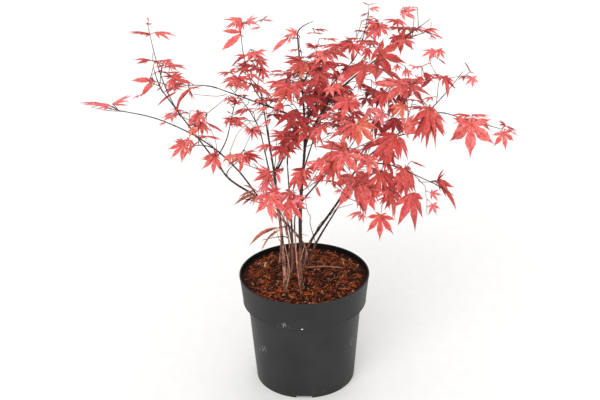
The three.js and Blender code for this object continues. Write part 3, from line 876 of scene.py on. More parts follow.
@dataclass(frozen=True)
class Mulch:
    """The potting mix and the shredded bark that covers it. Sizes in millimetres."""

    level: float = 198.0
    radius: float = 110.9
    clear: float = 5.5
    depth: float = 8.3
    wall_radius: float = 98.0
    step_level: float = 156.6
    foot_radius: float = 85.6
    mound: float = 2.6
    lumps: float = 2.4
    rings: int = 26
    segments: int = 96
    kinds: tuple[ShredKind, ...] = (
        ShredKind("mulch_dark", MulchFinish("dark_bark_mulch", 0x34150A, 0x180A05), 9000, (1.0, 1.6), 3),
        ShredKind("mulch_brown", MulchFinish("brown_bark_mulch", 0x944822, 0x542412), 15000, (0.9, 1.6), 7),
        ShredKind("mulch_red", MulchFinish("red_bark_mulch", 0xB6582C, 0x703214), 9000, (0.8, 1.5), 12),
        ShredKind(
            "mulch_orange", MulchFinish("orange_bark_mulch", 0xCC6A2E, 0x8C4012),
            12000, (0.7, 1.3), 21, 0.53),
        ShredKind("mulch_tan", MulchFinish("tan_bark_mulch", 0xC08C66, 0x82543A), 3600, (0.7, 1.5), 26),
        ShredKind("mulch_straw", MulchFinish("straw_mulch", 0xD2B08C, 0x9C7856), 900, (0.7, 1.6), 31),
        ShredKind("mulch_chips", MulchFinish("pale_chips", 0xD8A48A, 0xA86E58), 300, (0.5, 1.0), 44, 0, True),
    )

    def bed_profile(self) -> list[Pair]:
        """Returns the section of the mix, from its middle over the edge to the bottom's middle."""
        top = [(self.radius * i / self.rings, self.level) for i in range(self.rings + 1)]
        sides = [(self.radius - 1.5, self.step_level), (self.wall_radius, self.step_level)]
        bottom = [(self.foot_radius, self.depth), (0.0, self.depth)]
        return [(r * MM, z * MM) for r, z in top + sides + bottom]

    def bed(self) -> Shape:
        """Returns the mix's shape, with a lumpy, slightly raised top."""
        verts, faces = lathe(self.bed_profile(), self.segments)
        for vertex in verts:
            if vertex[2] > (self.level - 1) * MM:
                out = math.hypot(vertex[0], vertex[1]) / (self.radius * MM)
                lump = noise.noise(Vector(vertex) * 90) + 0.6 * noise.noise(Vector(vertex) * 260)
                vertex[2] += (self.mound * (1 - out ** 2) + self.lumps * lump - 1.0) * MM
        return verts, faces

    def shred(self, seed: int, chunky: bool) -> Shape:
        """Makes one shred, curved, flat and frayed to points."""
        draws = Draws(seed)
        length = draws.between((5.0, 7.0)) if chunky else draws.between((9.0, 15.0))
        width = draws.between((1.6, 2.4)) if chunky else draws.between((0.7, 1.3))
        bow = draws.between((-0.18, 0.18))
        steps = 3 if chunky else 5
        line, radii = [], []
        for i in range(steps + 1):
            along = i / steps
            sway = math.sin(along * math.pi) * bow * length
            line.append((length * (along - 0.5), sway, draws.jitter(0.5)))
            girth = width * (0.35 + 0.65 * math.sin(math.pi * mixed(0.12, 0.9, along)))
            radii.append([girth, girth * 0.35, girth * draws.between((0.7, 1.0)), girth * 0.3])
        return tube(np.array(line) * MM, np.array(radii) * MM, 4)

    def shapes(self, chunky: bool) -> Collection:
        """Makes the shapes that the scatter picks from."""
        group = bpy.data.collections.new("shred_shapes")
        material = self.kinds[0].finish.material()
        for seed in range(1, 9):
            shape = MeshBank(self.shred(seed * 17, chunky)).build(f"shred_shape_{seed}", material, 60)
            bpy.context.scene.collection.objects.unlink(shape)
            group.objects.link(shape)
        return group

    def build(self) -> None:
        """Makes the mix and strews the shreds over it."""
        finish = MulchFinish("potting_mix", 0x3A190D, 0x180A05)
        mix = MeshBank(self.bed()).build("mulch_bed", finish.material(), 70)
        dressed(mix, ["potting_mix"])
        surface = self.top_surface(mix)
        scatter = ShredScatter()
        tree = scatter.tree()
        for kind in self.kinds:
            shapes = self.shapes(kind.chunky)
            piece = scatter.strewn(tree, surface, kind, shapes)
            for shape in list(shapes.objects):
                bpy.data.objects.remove(shape)
            bpy.data.collections.remove(shapes)
            dressed(piece, [])
        bpy.data.objects.remove(surface)

    def top_surface(self, mix: Object) -> Object:
        """Returns the mix's top alone, short of the pot's wall."""
        verts = np.array([v.co for v in mix.data.vertices])
        inside = np.hypot(verts[:, 0], verts[:, 1]) < (self.radius - self.clear) * MM
        high = verts[:, 2] > (self.level - 8) * MM
        faces = [list(p.vertices) for p in mix.data.polygons if all((inside & high)[list(p.vertices)])]
        mesh = bpy.data.meshes.new("mulch_top")
        mesh.from_pydata(verts.tolist(), [], faces)
        return linked("mulch_top", mesh)


# Limbs
FLUTE_BARK = 0x2C1712


class BarkTone(Enum):
    """The colours of a limb's bark, low down, high up and in its cracks, and the height where it darkens."""

    TAN = (0xCC9478, 0x281412, 0x643024, 0.31)
    # painted shade: a darker tan that turns dark from lower down, for the shaded stems on the right and at
    # the back
    BROWN = (0xAA7052, 0x241210, 0x4A2218, 0.235)
    PINK = (0xC88A6E, 0x7A3C34, 0x6E382C, 0.3)
    RED = (0x8A4434, 0x4A1A1A, 0x3A1712, 0.25)
    DARK = (0x3A221E, 0x1E1110, 0x140B0A, 0.25)

    def material(self) -> Material:
        """Builds the bark, lighter below and dark above, with streaks and long dark flutes along the limb."""
        *colours, dark_from = self.value
        low, high, crack = (linear(colour) for colour in colours)
        shader = Shader(f"bark_{self.name.lower()}")
        streaks = shader.noise(1, 4, shader.stretched((900, 900, 160)))
        patches = shader.noise(45, 3)
        rise = shader.height() + patches * 0.06 - 0.03
        blotches = shader.step(shader.noise(1, 3, shader.stretched((260, 260, 60))), 0.42, 0.58)
        base = shader.blend(blotches * 0.75, low, crack)
        base = shader.blend(shader.step(streaks, 0.48, 0.58) * 0.85, base, crack)
        flutes = shader.step(shader.noise(1, 1, shader.stretched((330, 330, 18))), 0.5, 0.55)
        base = shader.blend(flutes * 0.85, base, linear(FLUTE_BARK))
        base = shader.blend(shader.step(rise, dark_from, dark_from + 0.06), base, high)
        pale = shader.step(shader.noise(1, 2, shader.stretched((500, 500, 140))), 0.6, 0.68) * 0.45
        base = shader.blend(pale, base, scaled(low, 1.35))
        relief = streaks + patches * 0.5
        return shader.finish(Base_Color=base, Roughness=0.72, Normal=shader.bump(relief, 0.6, 0.0006))


@dataclass(frozen=True)
class Limb:
    """A stem from the mix, or a bough from another limb. Sizes and places in millimetres."""

    bends: tuple
    tip: Triple
    thick: Pair
    foot: Pair | None = None
    parent: str = ""
    at: float = 1.0
    tone: BarkTone | None = None

    @property
    def bark(self) -> BarkTone:
        """The bark that it is given, or else tan on a stem and dark on a bough."""
        return self.tone or (BarkTone.TAN if self.foot else BarkTone.DARK)


LIMBS = {
    "trunk_main": Limb(
        ((-5, -11, 335), (4, 3, 470)), (-6, 20, 632), (6.8, 2.8), (-6, -28), tone=BarkTone.BROWN),
    "trunk_left": Limb(((-38, -36, 300),), (-48, -25, 410), (6.0, 5.6), (-32, -56)),
    "stem_leaning_left": Limb(
        ((0, 15, 252), (-68, 2, 341), (-122, -14, 391), (-146, -21, 430)), (-226, -8, 546), (4.6, 2.4),
        (-3, 11)),
    "stem_right_outer": Limb(
        ((12, 27, 252), (60, -5, 345), (101, -48, 438)), (203, -62, 527), (4.8, 2.6), (-3, 42),
        tone=BarkTone.BROWN),
    "stem_right_inner": Limb(((21, 18, 252),), (67, -36, 364), (4.0, 2.8), (5, 27), tone=BarkTone.BROWN),
    "stem_front_left": Limb(((-25, -34, 268),), (-28, -62, 322), (4.0, 2.8), (-31, -25)),
    "stem_front_pink": Limb(((-12, -66, 262),), (-15, -74, 326), (4.0, 2.8), (-5, -63), tone=BarkTone.PINK),
    "stem_middle_left": Limb(((-20, 1, 262),), (-26, -8, 416), (4.2, 2.6), (-24, -4)),
    "stem_red": Limb(
        ((-22, 22, 258), (-36, 14, 330)), (-58, -2, 380), (3.8, 2.4), (-17, 8), tone=BarkTone.RED),
    "stem_back_left": Limb(((-42, 60, 270),), (-72, 104, 420), (4.4, 2.6), (-44, 52)),
    "stem_back": Limb(((-6.5, 66, 300),), (10, 100, 446), (4.8, 2.8), (-4.5, 58), tone=BarkTone.BROWN),
    "bough_long_left": Limb(
        ((-113, 9, 402), (-166, 14, 451), (-238, 6, 494)), (-314, 0, 516), (3.4, 2.0), None,
        "stem_leaning_left", 0.42),
    "bough_left_riser": Limb(
        ((-128, 2, 457),), (-117, 18, 497), (2.6, 1.8), None, "stem_leaning_left", 0.8),
    "bough_high_left": Limb(((-46, 16, 507),), (-140, 20, 543), (3.6, 2.2), None, "trunk_main", 0.71),
    "bough_fork_left": Limb(((-57, -14, 470),), (-66, -2, 534), (4.0, 2.4), None, "trunk_left", 0.97),
    "bough_fork_right": Limb(((-22, 14, 440),), (14, 58, 482), (3.6, 2.2), None, "trunk_left", 0.97),
    "bough_right_up": Limb(
        ((41, 9, 516), (72, 14, 549)), (150, 32, 606), (5.0, 2.6), None, "trunk_main", 0.62),
    "bough_right_steep": Limb(((30, 26, 520),), (82, 48, 574), (3.4, 2.2), None, "trunk_main", 0.69),
    "bough_middle_right": Limb(((22, 18, 460),), (38, 30, 498), (3.0, 2.0), None, "trunk_main", 0.5),
    "bough_front_right": Limb(((34, -34, 404),), (62, -72, 452), (3.4, 2.2), None, "trunk_main", 0.36),
    "bough_right_low": Limb(
        ((140, -92, 448),), (200, -128, 434), (3.0, 1.8), None, "stem_right_outer", 0.73, tone=BarkTone.RED),
    "bough_far_right": Limb(
        ((226, -64, 525),), (252, -68, 518), (2.4, 1.8), None, "stem_right_outer", 0.99),
}


@dataclass
class Skeleton:
    """The trunk, stems and boughs, and the cane on the mulch. Sizes in millimetres."""

    mix_level: float = 198.0
    clearance: float = 0.3
    flare_height: float = 9.0
    flare_share: float = 0.3
    stem_share: Pair = (1.06, 0.76)
    bough_share: Pair = (0.9, 0.7)
    step: float = 2.6
    sides: int = 14
    relief: float = 0.055
    node_gap: Pair = (19.0, 34.0)
    node_swell: float = 0.2
    node_half: float = 1.6
    collar: float = 0.35
    collar_reach: float = 5.0
    cane_from: Pair = (3, 24)
    cane_to: Pair = (68, 22)
    cane_thick: float = 3.4
    curves: dict[str, ThroughPoints] = field(default_factory=dict)

    def lay_out(self) -> None:
        """Works out the line of every limb."""
        for name, limb in LIMBS.items():
            if limb.foot:
                start = mm(*limb.foot, self.mix_level - self.flare_height / 2)
            else:
                start = self.curves[limb.parent].point(limb.at)
            points = [start, *(mm(*bend) for bend in limb.bends), mm(*limb.tip)]
            self.curves[name] = ThroughPoints(points)

    def radii(self, name: str, limb: Limb, length: float, count: int) -> Array:
        """Returns the limb's radius round each ring, with its flare, nodes and bark relief.

        Args:
            name: The limb's name.
            limb: The limb.
            length: Its length in millimetres.
            count: The number of rings less one.
        """
        draws = Draws(sum(map(ord, name)))
        run = np.linspace(0, length, count + 1)
        share = self.stem_share if limb.foot else self.bough_share
        girth = np.interp(run, (0, length), np.array(limb.thick) / 2 * share)
        if limb.foot:
            girth *= 1 + self.flare_share * np.exp(-run / self.flare_height)
        else:
            girth *= 1 + self.collar * np.exp(-run / self.collar_reach)
        place = draws.between(self.node_gap)
        while place < length:
            girth *= 1 + self.node_swell * np.exp(-((run - place) / self.node_half) ** 2)
            place += draws.between(self.node_gap)
        rows = []
        for i, radius in enumerate(girth):
            row = []
            for side in range(self.sides):
                angle = side / self.sides * 2 * math.pi
                spot = Vector((math.cos(angle) * 1.3, math.sin(angle) * 1.3, run[i] * 0.09 + len(name)))
                coarse = noise.noise(spot)
                fine = noise.noise(spot * 3.1)
                row.append(radius * (1 + self.relief * (coarse * 1.6 + fine)))
            rows.append(row)
        return np.array(rows) * MM

    def skin(self, name: str, limb: Limb, curve: Curve) -> Shape:
        """Returns the limb's mesh along its curve."""
        length = curve.length() / MM
        count = round(length / self.step)
        return tube(curve.even_points(count), self.radii(name, limb, length, count), self.sides)

    def build(self) -> None:
        """Makes one piece of bark for each limb, and the cane."""
        self.lay_out()
        finishes = {tone: tone.material() for tone in BarkTone}
        for name, limb in LIMBS.items():
            bank = MeshBank(self.skin(name, limb, self.curves[name]))
            piece = bank.build(f"bark_{name}", finishes[limb.bark], 50)
            dressed(piece, [name])
        self.build_cane()

    def build_cane(self) -> None:
        """Makes the thin cane that lies on the mulch."""
        height = self.mix_level + self.clearance + self.cane_thick / 2 + 2.0
        ends = [mm(*self.cane_from, height), mm(36, 25, height + 0.8), mm(*self.cane_to, height)]
        limb = Limb((), (0, 0, 0), (self.cane_thick, self.cane_thick * 0.7))
        bank = MeshBank(self.skin("cane", limb, ThroughPoints(ends)))
        shader = Shader("cane_bark")
        streaks = shader.noise(1, 3, shader.stretched((120, 900, 900)))
        base = shader.blend(shader.step(streaks, 0.4, 0.65), linear(0xA8785E), linear(0x6A4433))
        finish = shader.finish(Base_Color=base, Roughness=0.7, Normal=shader.bump(streaks, 0.4, 0.0005))
        dressed(bank.build("cane_bark", finish, 50), ["fallen_cane"])


# Leaves
SHADE_DEPTH = 0.5


class LeafTint(Enum):
    """The leaves' plain colours, partly their own and partly painted light and shade, dealt out by spray: the
    colour, its paler mottling and the slot.
    """

    PINK = (0xE36A70, 0xEE9A94, "leaf_coral")
    CORAL = (0xDE5E5C, 0xEA8A80, "leaf_coral")
    ORANGE = (0xD85E4C, 0xE58A70, "leaf_coral")
    SCARLET = (0xD24E4C, 0xE07268, "leaf_red")
    RED = (0xC44443, 0xD66056, "leaf_red")
    CRIMSON = (0xAE3237, 0xC44C4C, "leaf_deep_red")
    MAROON = (0x90262E, 0xA83E40, "leaf_deep_red")
    BRONZE = (0xB0604C, 0xD08470, "leaf_coral")

    def material(self) -> Material:
        """Builds the leaf skin: one colour in paler patches and darker ones, the darker ones partly veins and
        partly painted shade, with a soft gloss and fine relief.
        """
        colour, mottle, _ = self.value
        shader = Shader(f"leaf_{self.name.lower()}")
        share = shader.step(shader.noise(120, 3), 0.38, 0.66)
        base = shader.blend(share * 0.7, linear(colour), linear(mottle))
        # painted shade in part: the darker patches stand partly for the veins and partly for the shade of the
        # toothed edges
        shade = scaled(linear(colour), SHADE_DEPTH)
        veins_and_shade = shader.step(shader.noise(230, 2), 0.5, 0.64)
        base = shader.blend(veins_and_shade * 0.6, base, shade)
        grain = shader.noise(900, 3)
        gloss = 0.5 + share * 0.12
        return shader.finish(
            Base_Color=base, Roughness=gloss, Specular_IOR_Level=0.35,
            Normal=shader.bump(grain, 0.25, 0.0006))


PINK, CORAL, ORANGE, SCARLET, RED, CRIMSON, MAROON, BRONZE = LeafTint


@dataclass(frozen=True)
class LeafShape:
    """A palmate leaf, of seven pointed lobes where it gives no others, in lengths of its middle lobe."""

    edge: tuple[Pair, ...]
    ribs: tuple[float, ...]
    turns: tuple[float, ...] = (-130, -87, -43, 0, 43, 87, 130)
    lengths: tuple[float, ...] = (0.28, 0.64, 0.93, 1.0, 0.93, 0.64, 0.28)
    notch: float = 0.19
    low_notch: float = 0.12
    foot: float = 0.06
    fold: float = 0.55
    thickness: float = 0.011

    def notches(self) -> list[Pair]:
        """Returns the turn and reach of the bays between the lobes, with the leaf's foot at both ends."""
        inner = []
        for i in range(len(self.turns) - 1):
            beside_small = min(self.lengths[i], self.lengths[i + 1]) < 0.5
            middle = (self.turns[i] + self.turns[i + 1]) / 2
            inner.append((middle, self.low_notch if beside_small else self.notch))
        return [(self.turns[0] - 32, self.foot), *inner, (self.turns[-1] + 32, self.foot)]

    def build(self) -> Shape:
        """Returns the leaf's points and triangles.

        Returns:
            Points as rows of forward, sideways and up, and the triangles of the closed, thin leaf.
        """
        points = [(0.0, 0.0, 0.0)]
        faces = []

        def put(turn: float, reach: float, across: float = 0.0) -> int:
            """Adds a point and returns its number."""
            angle = math.radians(turn)
            forward = reach * math.cos(angle) - across * math.sin(angle)
            sideways = reach * math.sin(angle) + across * math.cos(angle)
            points.append((forward, sideways, abs(across) * self.fold))
            return len(points) - 1

        bays = [put(turn, reach) for turn, reach in self.notches()]
        for bay in bays:
            points[bay] = (points[bay][0], points[bay][1], 0.035)
        middle_line = [0]
        for i, (turn, length) in enumerate(zip(self.turns, self.lengths)):
            ribs = [(share, put(turn, share * length)) for share in self.ribs]
            middle_line += [rib for _, rib in ribs]
            tip = put(turn, length)
            inner = [(0.0, 0), *ribs, (1.0, tip)]
            for side, bay in ((-1, bays[i]), (1, bays[i + 1])):
                edge = [(a, put(turn, a * length, side * w * length)) for a, w in self.edge]
                outer = [(self.notch, bay), *edge, (1.0, tip)]
                faces += [f if side < 0 else (f[0], f[2], f[1]) for f in self.strip(inner, outer)]
        under = {index: len(points) + k for k, index in enumerate(middle_line)}
        points += [(points[i][0], points[i][1], points[i][2] - self.thickness) for i in middle_line]
        below = [tuple(under.get(v, v) for v in reversed(face)) for face in faces]
        ends = [(bays[0], 0, under[0]), (0, bays[-1], under[0])]
        return np.array(points), np.array(faces + below + ends)

    @staticmethod
    def strip(inner: list[tuple[float, int]], outer: list[tuple[float, int]]) -> list[tuple]:
        """Fills the strip between a lobe's rib and its edge, both from the hub to the tip."""
        faces, i, j = [], 0, 0
        while j < len(outer) - 1:
            if i < len(inner) - 2 and inner[i + 1][0] < outer[j + 1][0]:
                faces.append((inner[i][1], outer[j][1], inner[i + 1][1]))
                i += 1
            else:
                faces.append((inner[i][1], outer[j][1], outer[j + 1][1]))
                j += 1
        return faces


LEAF_SHAPES = {
    "plain": LeafShape(((0.36, 0.128), (0.54, 0.135), (0.74, 0.055)), (0.55,), notch=0.23),
    "young": LeafShape(
        ((0.36, 0.085), (0.58, 0.09), (0.78, 0.035)), (0.5,),
        (-88, -42, 0, 42, 88), (0.55, 0.9, 1.0, 0.9, 0.55)),
    "folded": LeafShape(
        ((0.3, 0.08), (0.52, 0.11), (0.76, 0.055)), (0.5,),
        (-52, -26, 0, 26, 52), (0.6, 0.88, 1.0, 0.88, 0.6), notch=0.22),
    "closed": LeafShape(
        ((0.2, 0.085), (0.36, 0.135), (0.4, 0.12), (0.54, 0.142), (0.58, 0.118), (0.72, 0.1), (0.76, 0.078),
         (0.88, 0.03)), (0.5,), (0,), (1.0,), notch=0.06, foot=0.02),
    "toothed": LeafShape(
        ((0.3, 0.105), (0.43, 0.148), (0.46, 0.134), (0.57, 0.142), (0.6, 0.116), (0.69, 0.092),
         (0.72, 0.062), (0.84, 0.024)), (0.4, 0.68), notch=0.23),
}


@dataclass
class Leaf:
    """One leaf: where its stalk starts, its hub, the frame that it lies in and its middle lobe's length."""

    mass: str
    root: Array
    hub: Array
    axis: Array
    side: Array
    normal: Array
    lobe: float
    tint: LeafTint = LeafTint.RED
    drop: float = 0.12
    fold: float = 0.25
    twist: float = 0.0
    sickle: float = 0.0
    gather: float = 1.0

    HALF_OPEN = 0.62
    CLOSED = 0.18
    TOOTHED_LOBE = 0.026
    PLAIN_LOBE = 0.0125

    def give_way(self, draws: Draws, drops: Pair, folds: Pair) -> None:
        """Bends the blade: its tips droop, its halves fold down, and it twists a little.

        Args:
            draws: The random row.
            drops: The least and most that the tips droop, in lobes.
            folds: The least and most that each half folds down, in radians.
        """
        self.drop = draws.between(drops)
        self.fold = draws.between(folds)
        self.twist = draws.jitter(0.35)
        self.sickle = draws.jitter(0.1)

    def placed(self, points: Array) -> Array:
        """Returns a leaf shape's points in place, with the blade bent."""
        forward, sideways, rise = points.T
        reach = forward ** 2 + sideways ** 2
        spread = {"folded": self.gather * 2, "closed": 1.0}.get(self.shape(), self.gather)
        turn, out = np.arctan2(sideways, forward) * spread, np.sqrt(reach)
        forward, sideways = out * np.cos(turn), out * np.sin(turn)
        sideways = sideways + self.sickle * forward * np.abs(forward)
        soft = np.sqrt(sideways ** 2 + 0.0025) - 0.05
        rise = rise - self.drop * reach - soft * math.sin(self.fold)
        sideways = sideways * math.cos(self.fold)
        turn = self.twist * forward
        level = sideways * np.cos(turn) - rise * np.sin(turn)
        rise = sideways * np.sin(turn) + rise * np.cos(turn)
        local = forward[:, None] * self.axis + level[:, None] * self.side + rise[:, None] * self.normal
        return self.hub + local * self.lobe

    def shape(self) -> str:
        """Names the leaf shape that suits the leaf's size and how far it is closed."""
        if self.gather < self.HALF_OPEN:
            return "folded" if self.gather >= self.CLOSED else "closed"
        if self.lobe > self.TOOTHED_LOBE:
            return "toothed"
        return "plain" if self.lobe > self.PLAIN_LOBE else "young"

    def centre(self) -> Array:
        """Returns the middle of the blade."""
        return self.hub + self.axis * self.lobe * 0.4

    def reach_points(self) -> Array:
        """Returns the hub and the ends of the three middle lobes."""
        turns = (math.radians(39), 0.0, -math.radians(39))
        ends = [self.axis * math.cos(t) + self.side * math.sin(t) for t in turns]
        return np.array([self.hub, *(self.hub + end * self.lobe * 0.9 for end in ends)])


class TwigSkin(Enum):
    """The twigs' bark: the piece's name, its colour, its paler patches and the slot."""

    OLD = ("twigs", 0x2E1C1A, 0x4A2C26, "bough_bark")
    YOUNG = ("young_twigs", 0x5A2222, 0x8A3630, "bough_bark")
    PALE = ("pale_canes", 0x9A6A54, 0xC09A80, "stem_bark")


@dataclass
class Twig:
    """One twig: its line, its radius at both ends, the number of its rings less one and its bark."""

    mass: str
    curve: Curve
    radius: Pair
    steps: int
    skin: TwigSkin = TwigSkin.OLD


@dataclass(frozen=True)
class Mass:
    """A mass of leaves on one stem of twigs. Places and spans in millimetres, droop in degrees."""

    limb: str
    tip: Triple
    pairs: int
    span: float
    droop: float
    tints: tuple[LeafTint, ...]
    at: float = 1.0
    shoots: int = 0


LIGHT = (PINK, CORAL, CORAL, SCARLET)
WARM = (CORAL, ORANGE, SCARLET)
FRONT = (SCARLET, CORAL, RED, ORANGE)
BRIGHT = (SCARLET, RED, CORAL)
# painted shade in part: the deeper reds go to the inner and back masses, where shade falls
DEEP_SHADED = (RED, CRIMSON, SCARLET, MAROON)

MASSES = {
    "far_left": Mass("bough_long_left", (-342, 0, 529), 1, 44, 2, LIGHT),
    "left_spray": Mass("bough_long_left", (-186, 8, 508), 2, 50, 20, LIGHT, 0.55),
    "left_hanging": Mass("bough_long_left", (-184, -36, 462), 1, 56, 45, WARM, 0.4),
    "left_inner": Mass("stem_leaning_left", (-100, -34, 438), 1, 56, 20, WARM, 0.62),
    "left_low": Mass("stem_leaning_left", (-108, -34, 366), 1, 44, 15, (BRONZE, PINK), 0.36),
    "upper_left": Mass("stem_leaning_left", (-240, -6, 590), 2, 58, 20, LIGHT, 1.0, 1),
    "left_shoot": Mass("stem_leaning_left", (-247, 14, 655), 2, 44, 5, LIGHT, 0.94),
    "left_riser": Mass("bough_left_riser", (-111, 26, 522), 1, 36, 15, BRIGHT),
    "high_left": Mass("bough_high_left", (-196, 18, 549), 2, 50, 25, LIGHT),
    "front_low": Mass("stem_front_pink", (-6, -116, 398), 1, 82, 55, (PINK, CORAL)),
    "front_left": Mass("stem_front_left", (-60, -108, 408), 1, 80, 58, (PINK, CORAL)),
    "low_hanging": Mass("stem_front_left", (-70, -72, 306), 1, 42, 55, (BRONZE, PINK), 0.72),
    "centre_left": Mass("stem_red", (-82, -30, 428), 2, 54, 15, WARM),
    "centre_dark": Mass("stem_middle_left", (-14, -36, 474), 3, 58, 15, DEEP_SHADED),
    "centre_right_low": Mass("trunk_main", (6, -76, 424), 2, 60, 30, BRIGHT, 0.37),
    "mid_left": Mass("bough_fork_left", (-112, 18, 584), 3, 54, 15, BRIGHT, 1.0, 1),
    "top_left": Mass("bough_high_left", (-100, 44, 644), 2, 52, 30, LIGHT, 0.5),
    "trunk_top": Mass("trunk_main", (20, 36, 650), 2, 44, 8, BRIGHT),
    "upper_centre": Mass("trunk_main", (36, -20, 616), 3, 58, 12, BRIGHT, 0.8, 1),
    "centre": Mass("trunk_main", (-28, -40, 552), 3, 60, 20, DEEP_SHADED, 0.655),
    "centre_back": Mass("bough_fork_right", (20, 92, 552), 3, 58, 15, DEEP_SHADED, 1.0, 1),
    "top_right": Mass("bough_right_steep", (111, 52, 662), 2, 54, 15, BRIGHT, 1.0, 1),
    "far_top_right": Mass("bough_right_up", (212, 46, 648), 3, 46, 15, BRIGHT, 1.0, 1),
    "right_crown": Mass("bough_right_up", (136, -24, 604), 2, 82, 35, FRONT, 0.76),
    "right_shoots": Mass("stem_right_outer", (256, -46, 588), 2, 38, 25, FRONT, 0.96),
    "right_middle": Mass("stem_right_outer", (160, -34, 566), 3, 62, 20, FRONT, 0.9),
    "far_right": Mass("bough_far_right", (318, -74, 500), 2, 70, 35, (CORAL, SCARLET)),
    "right_front": Mass("bough_front_right", (92, -118, 522), 3, 76, 35, FRONT, 1.0, 1),
    "right_front_low": Mass("stem_right_inner", (142, -140, 424), 4, 76, 55, FRONT, 1.0, 1),
    "right_side": Mass("stem_right_outer", (196, -114, 508), 4, 74, 45, FRONT, 0.85),
    "right_low_shoot": Mass("bough_right_low", (238, -134, 412), 1, 42, 40, (RED, CORAL)),
    "middle_right": Mass("bough_middle_right", (68, 26, 548), 3, 60, 20, DEEP_SHADED, 1.0, 1),
    "back_left": Mass("stem_back_left", (-132, 186, 488), 2, 60, 25, DEEP_SHADED, 1.0, 1),
    "back": Mass("stem_back", (-8, 208, 506), 3, 60, 25, DEEP_SHADED, 1.0, 1),
    "back_right": Mass("stem_back", (112, 172, 500), 2, 60, 25, DEEP_SHADED, 0.85, 1),
}


@dataclass(frozen=True)
class GrowthRule:
    """The source's rule for where leaves and shoots leave a twig, carried on to finer twigs."""

    first_seed: int = 11
    first_node: float = 0.34
    last_node: float = 0.92
    shoot_node: float = 0.55
    node_turn: float = math.radians(68)
    turn_jitter: float = math.radians(24)
    yaw_jitter: float = math.radians(26)
    droop_jitter: float = math.radians(12)
    roll_jitter: float = math.radians(16)
    petiole_droop: float = 0.4
    space_spans: float = 1.25
    shoot_length: Pair = (0.55, 0.8)
    leaf_size: Pair = (0.85, 1.12)
    shoot_leaf: float = 0.9
    tip_leaf: float = 0.8
    shoot_lean: float = 0.6
    shoot_lift: float = 0.12
    pair_lean: float = 0.4
    tip_spread: float = 0.75
    root_sink: float = 1.2 * MM
    clearance: float = 0.3 * MM
    width_over_lobe: float = 1.38
    stalk_length: float = 0.38
    stem_radius: Pair = (0.95 * MM, 0.42 * MM)
    side_radius: Pair = (0.75 * MM, 0.42 * MM)
    shoot_radius: Pair = (0.7 * MM, 0.5 * MM)
    fine_radius: Pair = (0.6 * MM, 0.45 * MM)
    fine_nodes: tuple[float, ...] = (0.45, 0.75)
    fine_length: Pair = (0.35, 0.7)
    fine_leaf: Pair = (0.42, 0.66)
    drops: Pair = (0.04, 0.3)
    folds: Pair = (0.0, 0.42)
    hanging: float = 30.0
    flatter: float = 0.6
    back_from: float = 150.0
    back_nodes: tuple[float, ...] = (0.06, 0.2, 0.34, 0.48, 0.62, 0.76, 0.9)
    back_length: Pair = (0.55, 1.0)
    back_leaf: Pair = (0.55, 0.85)


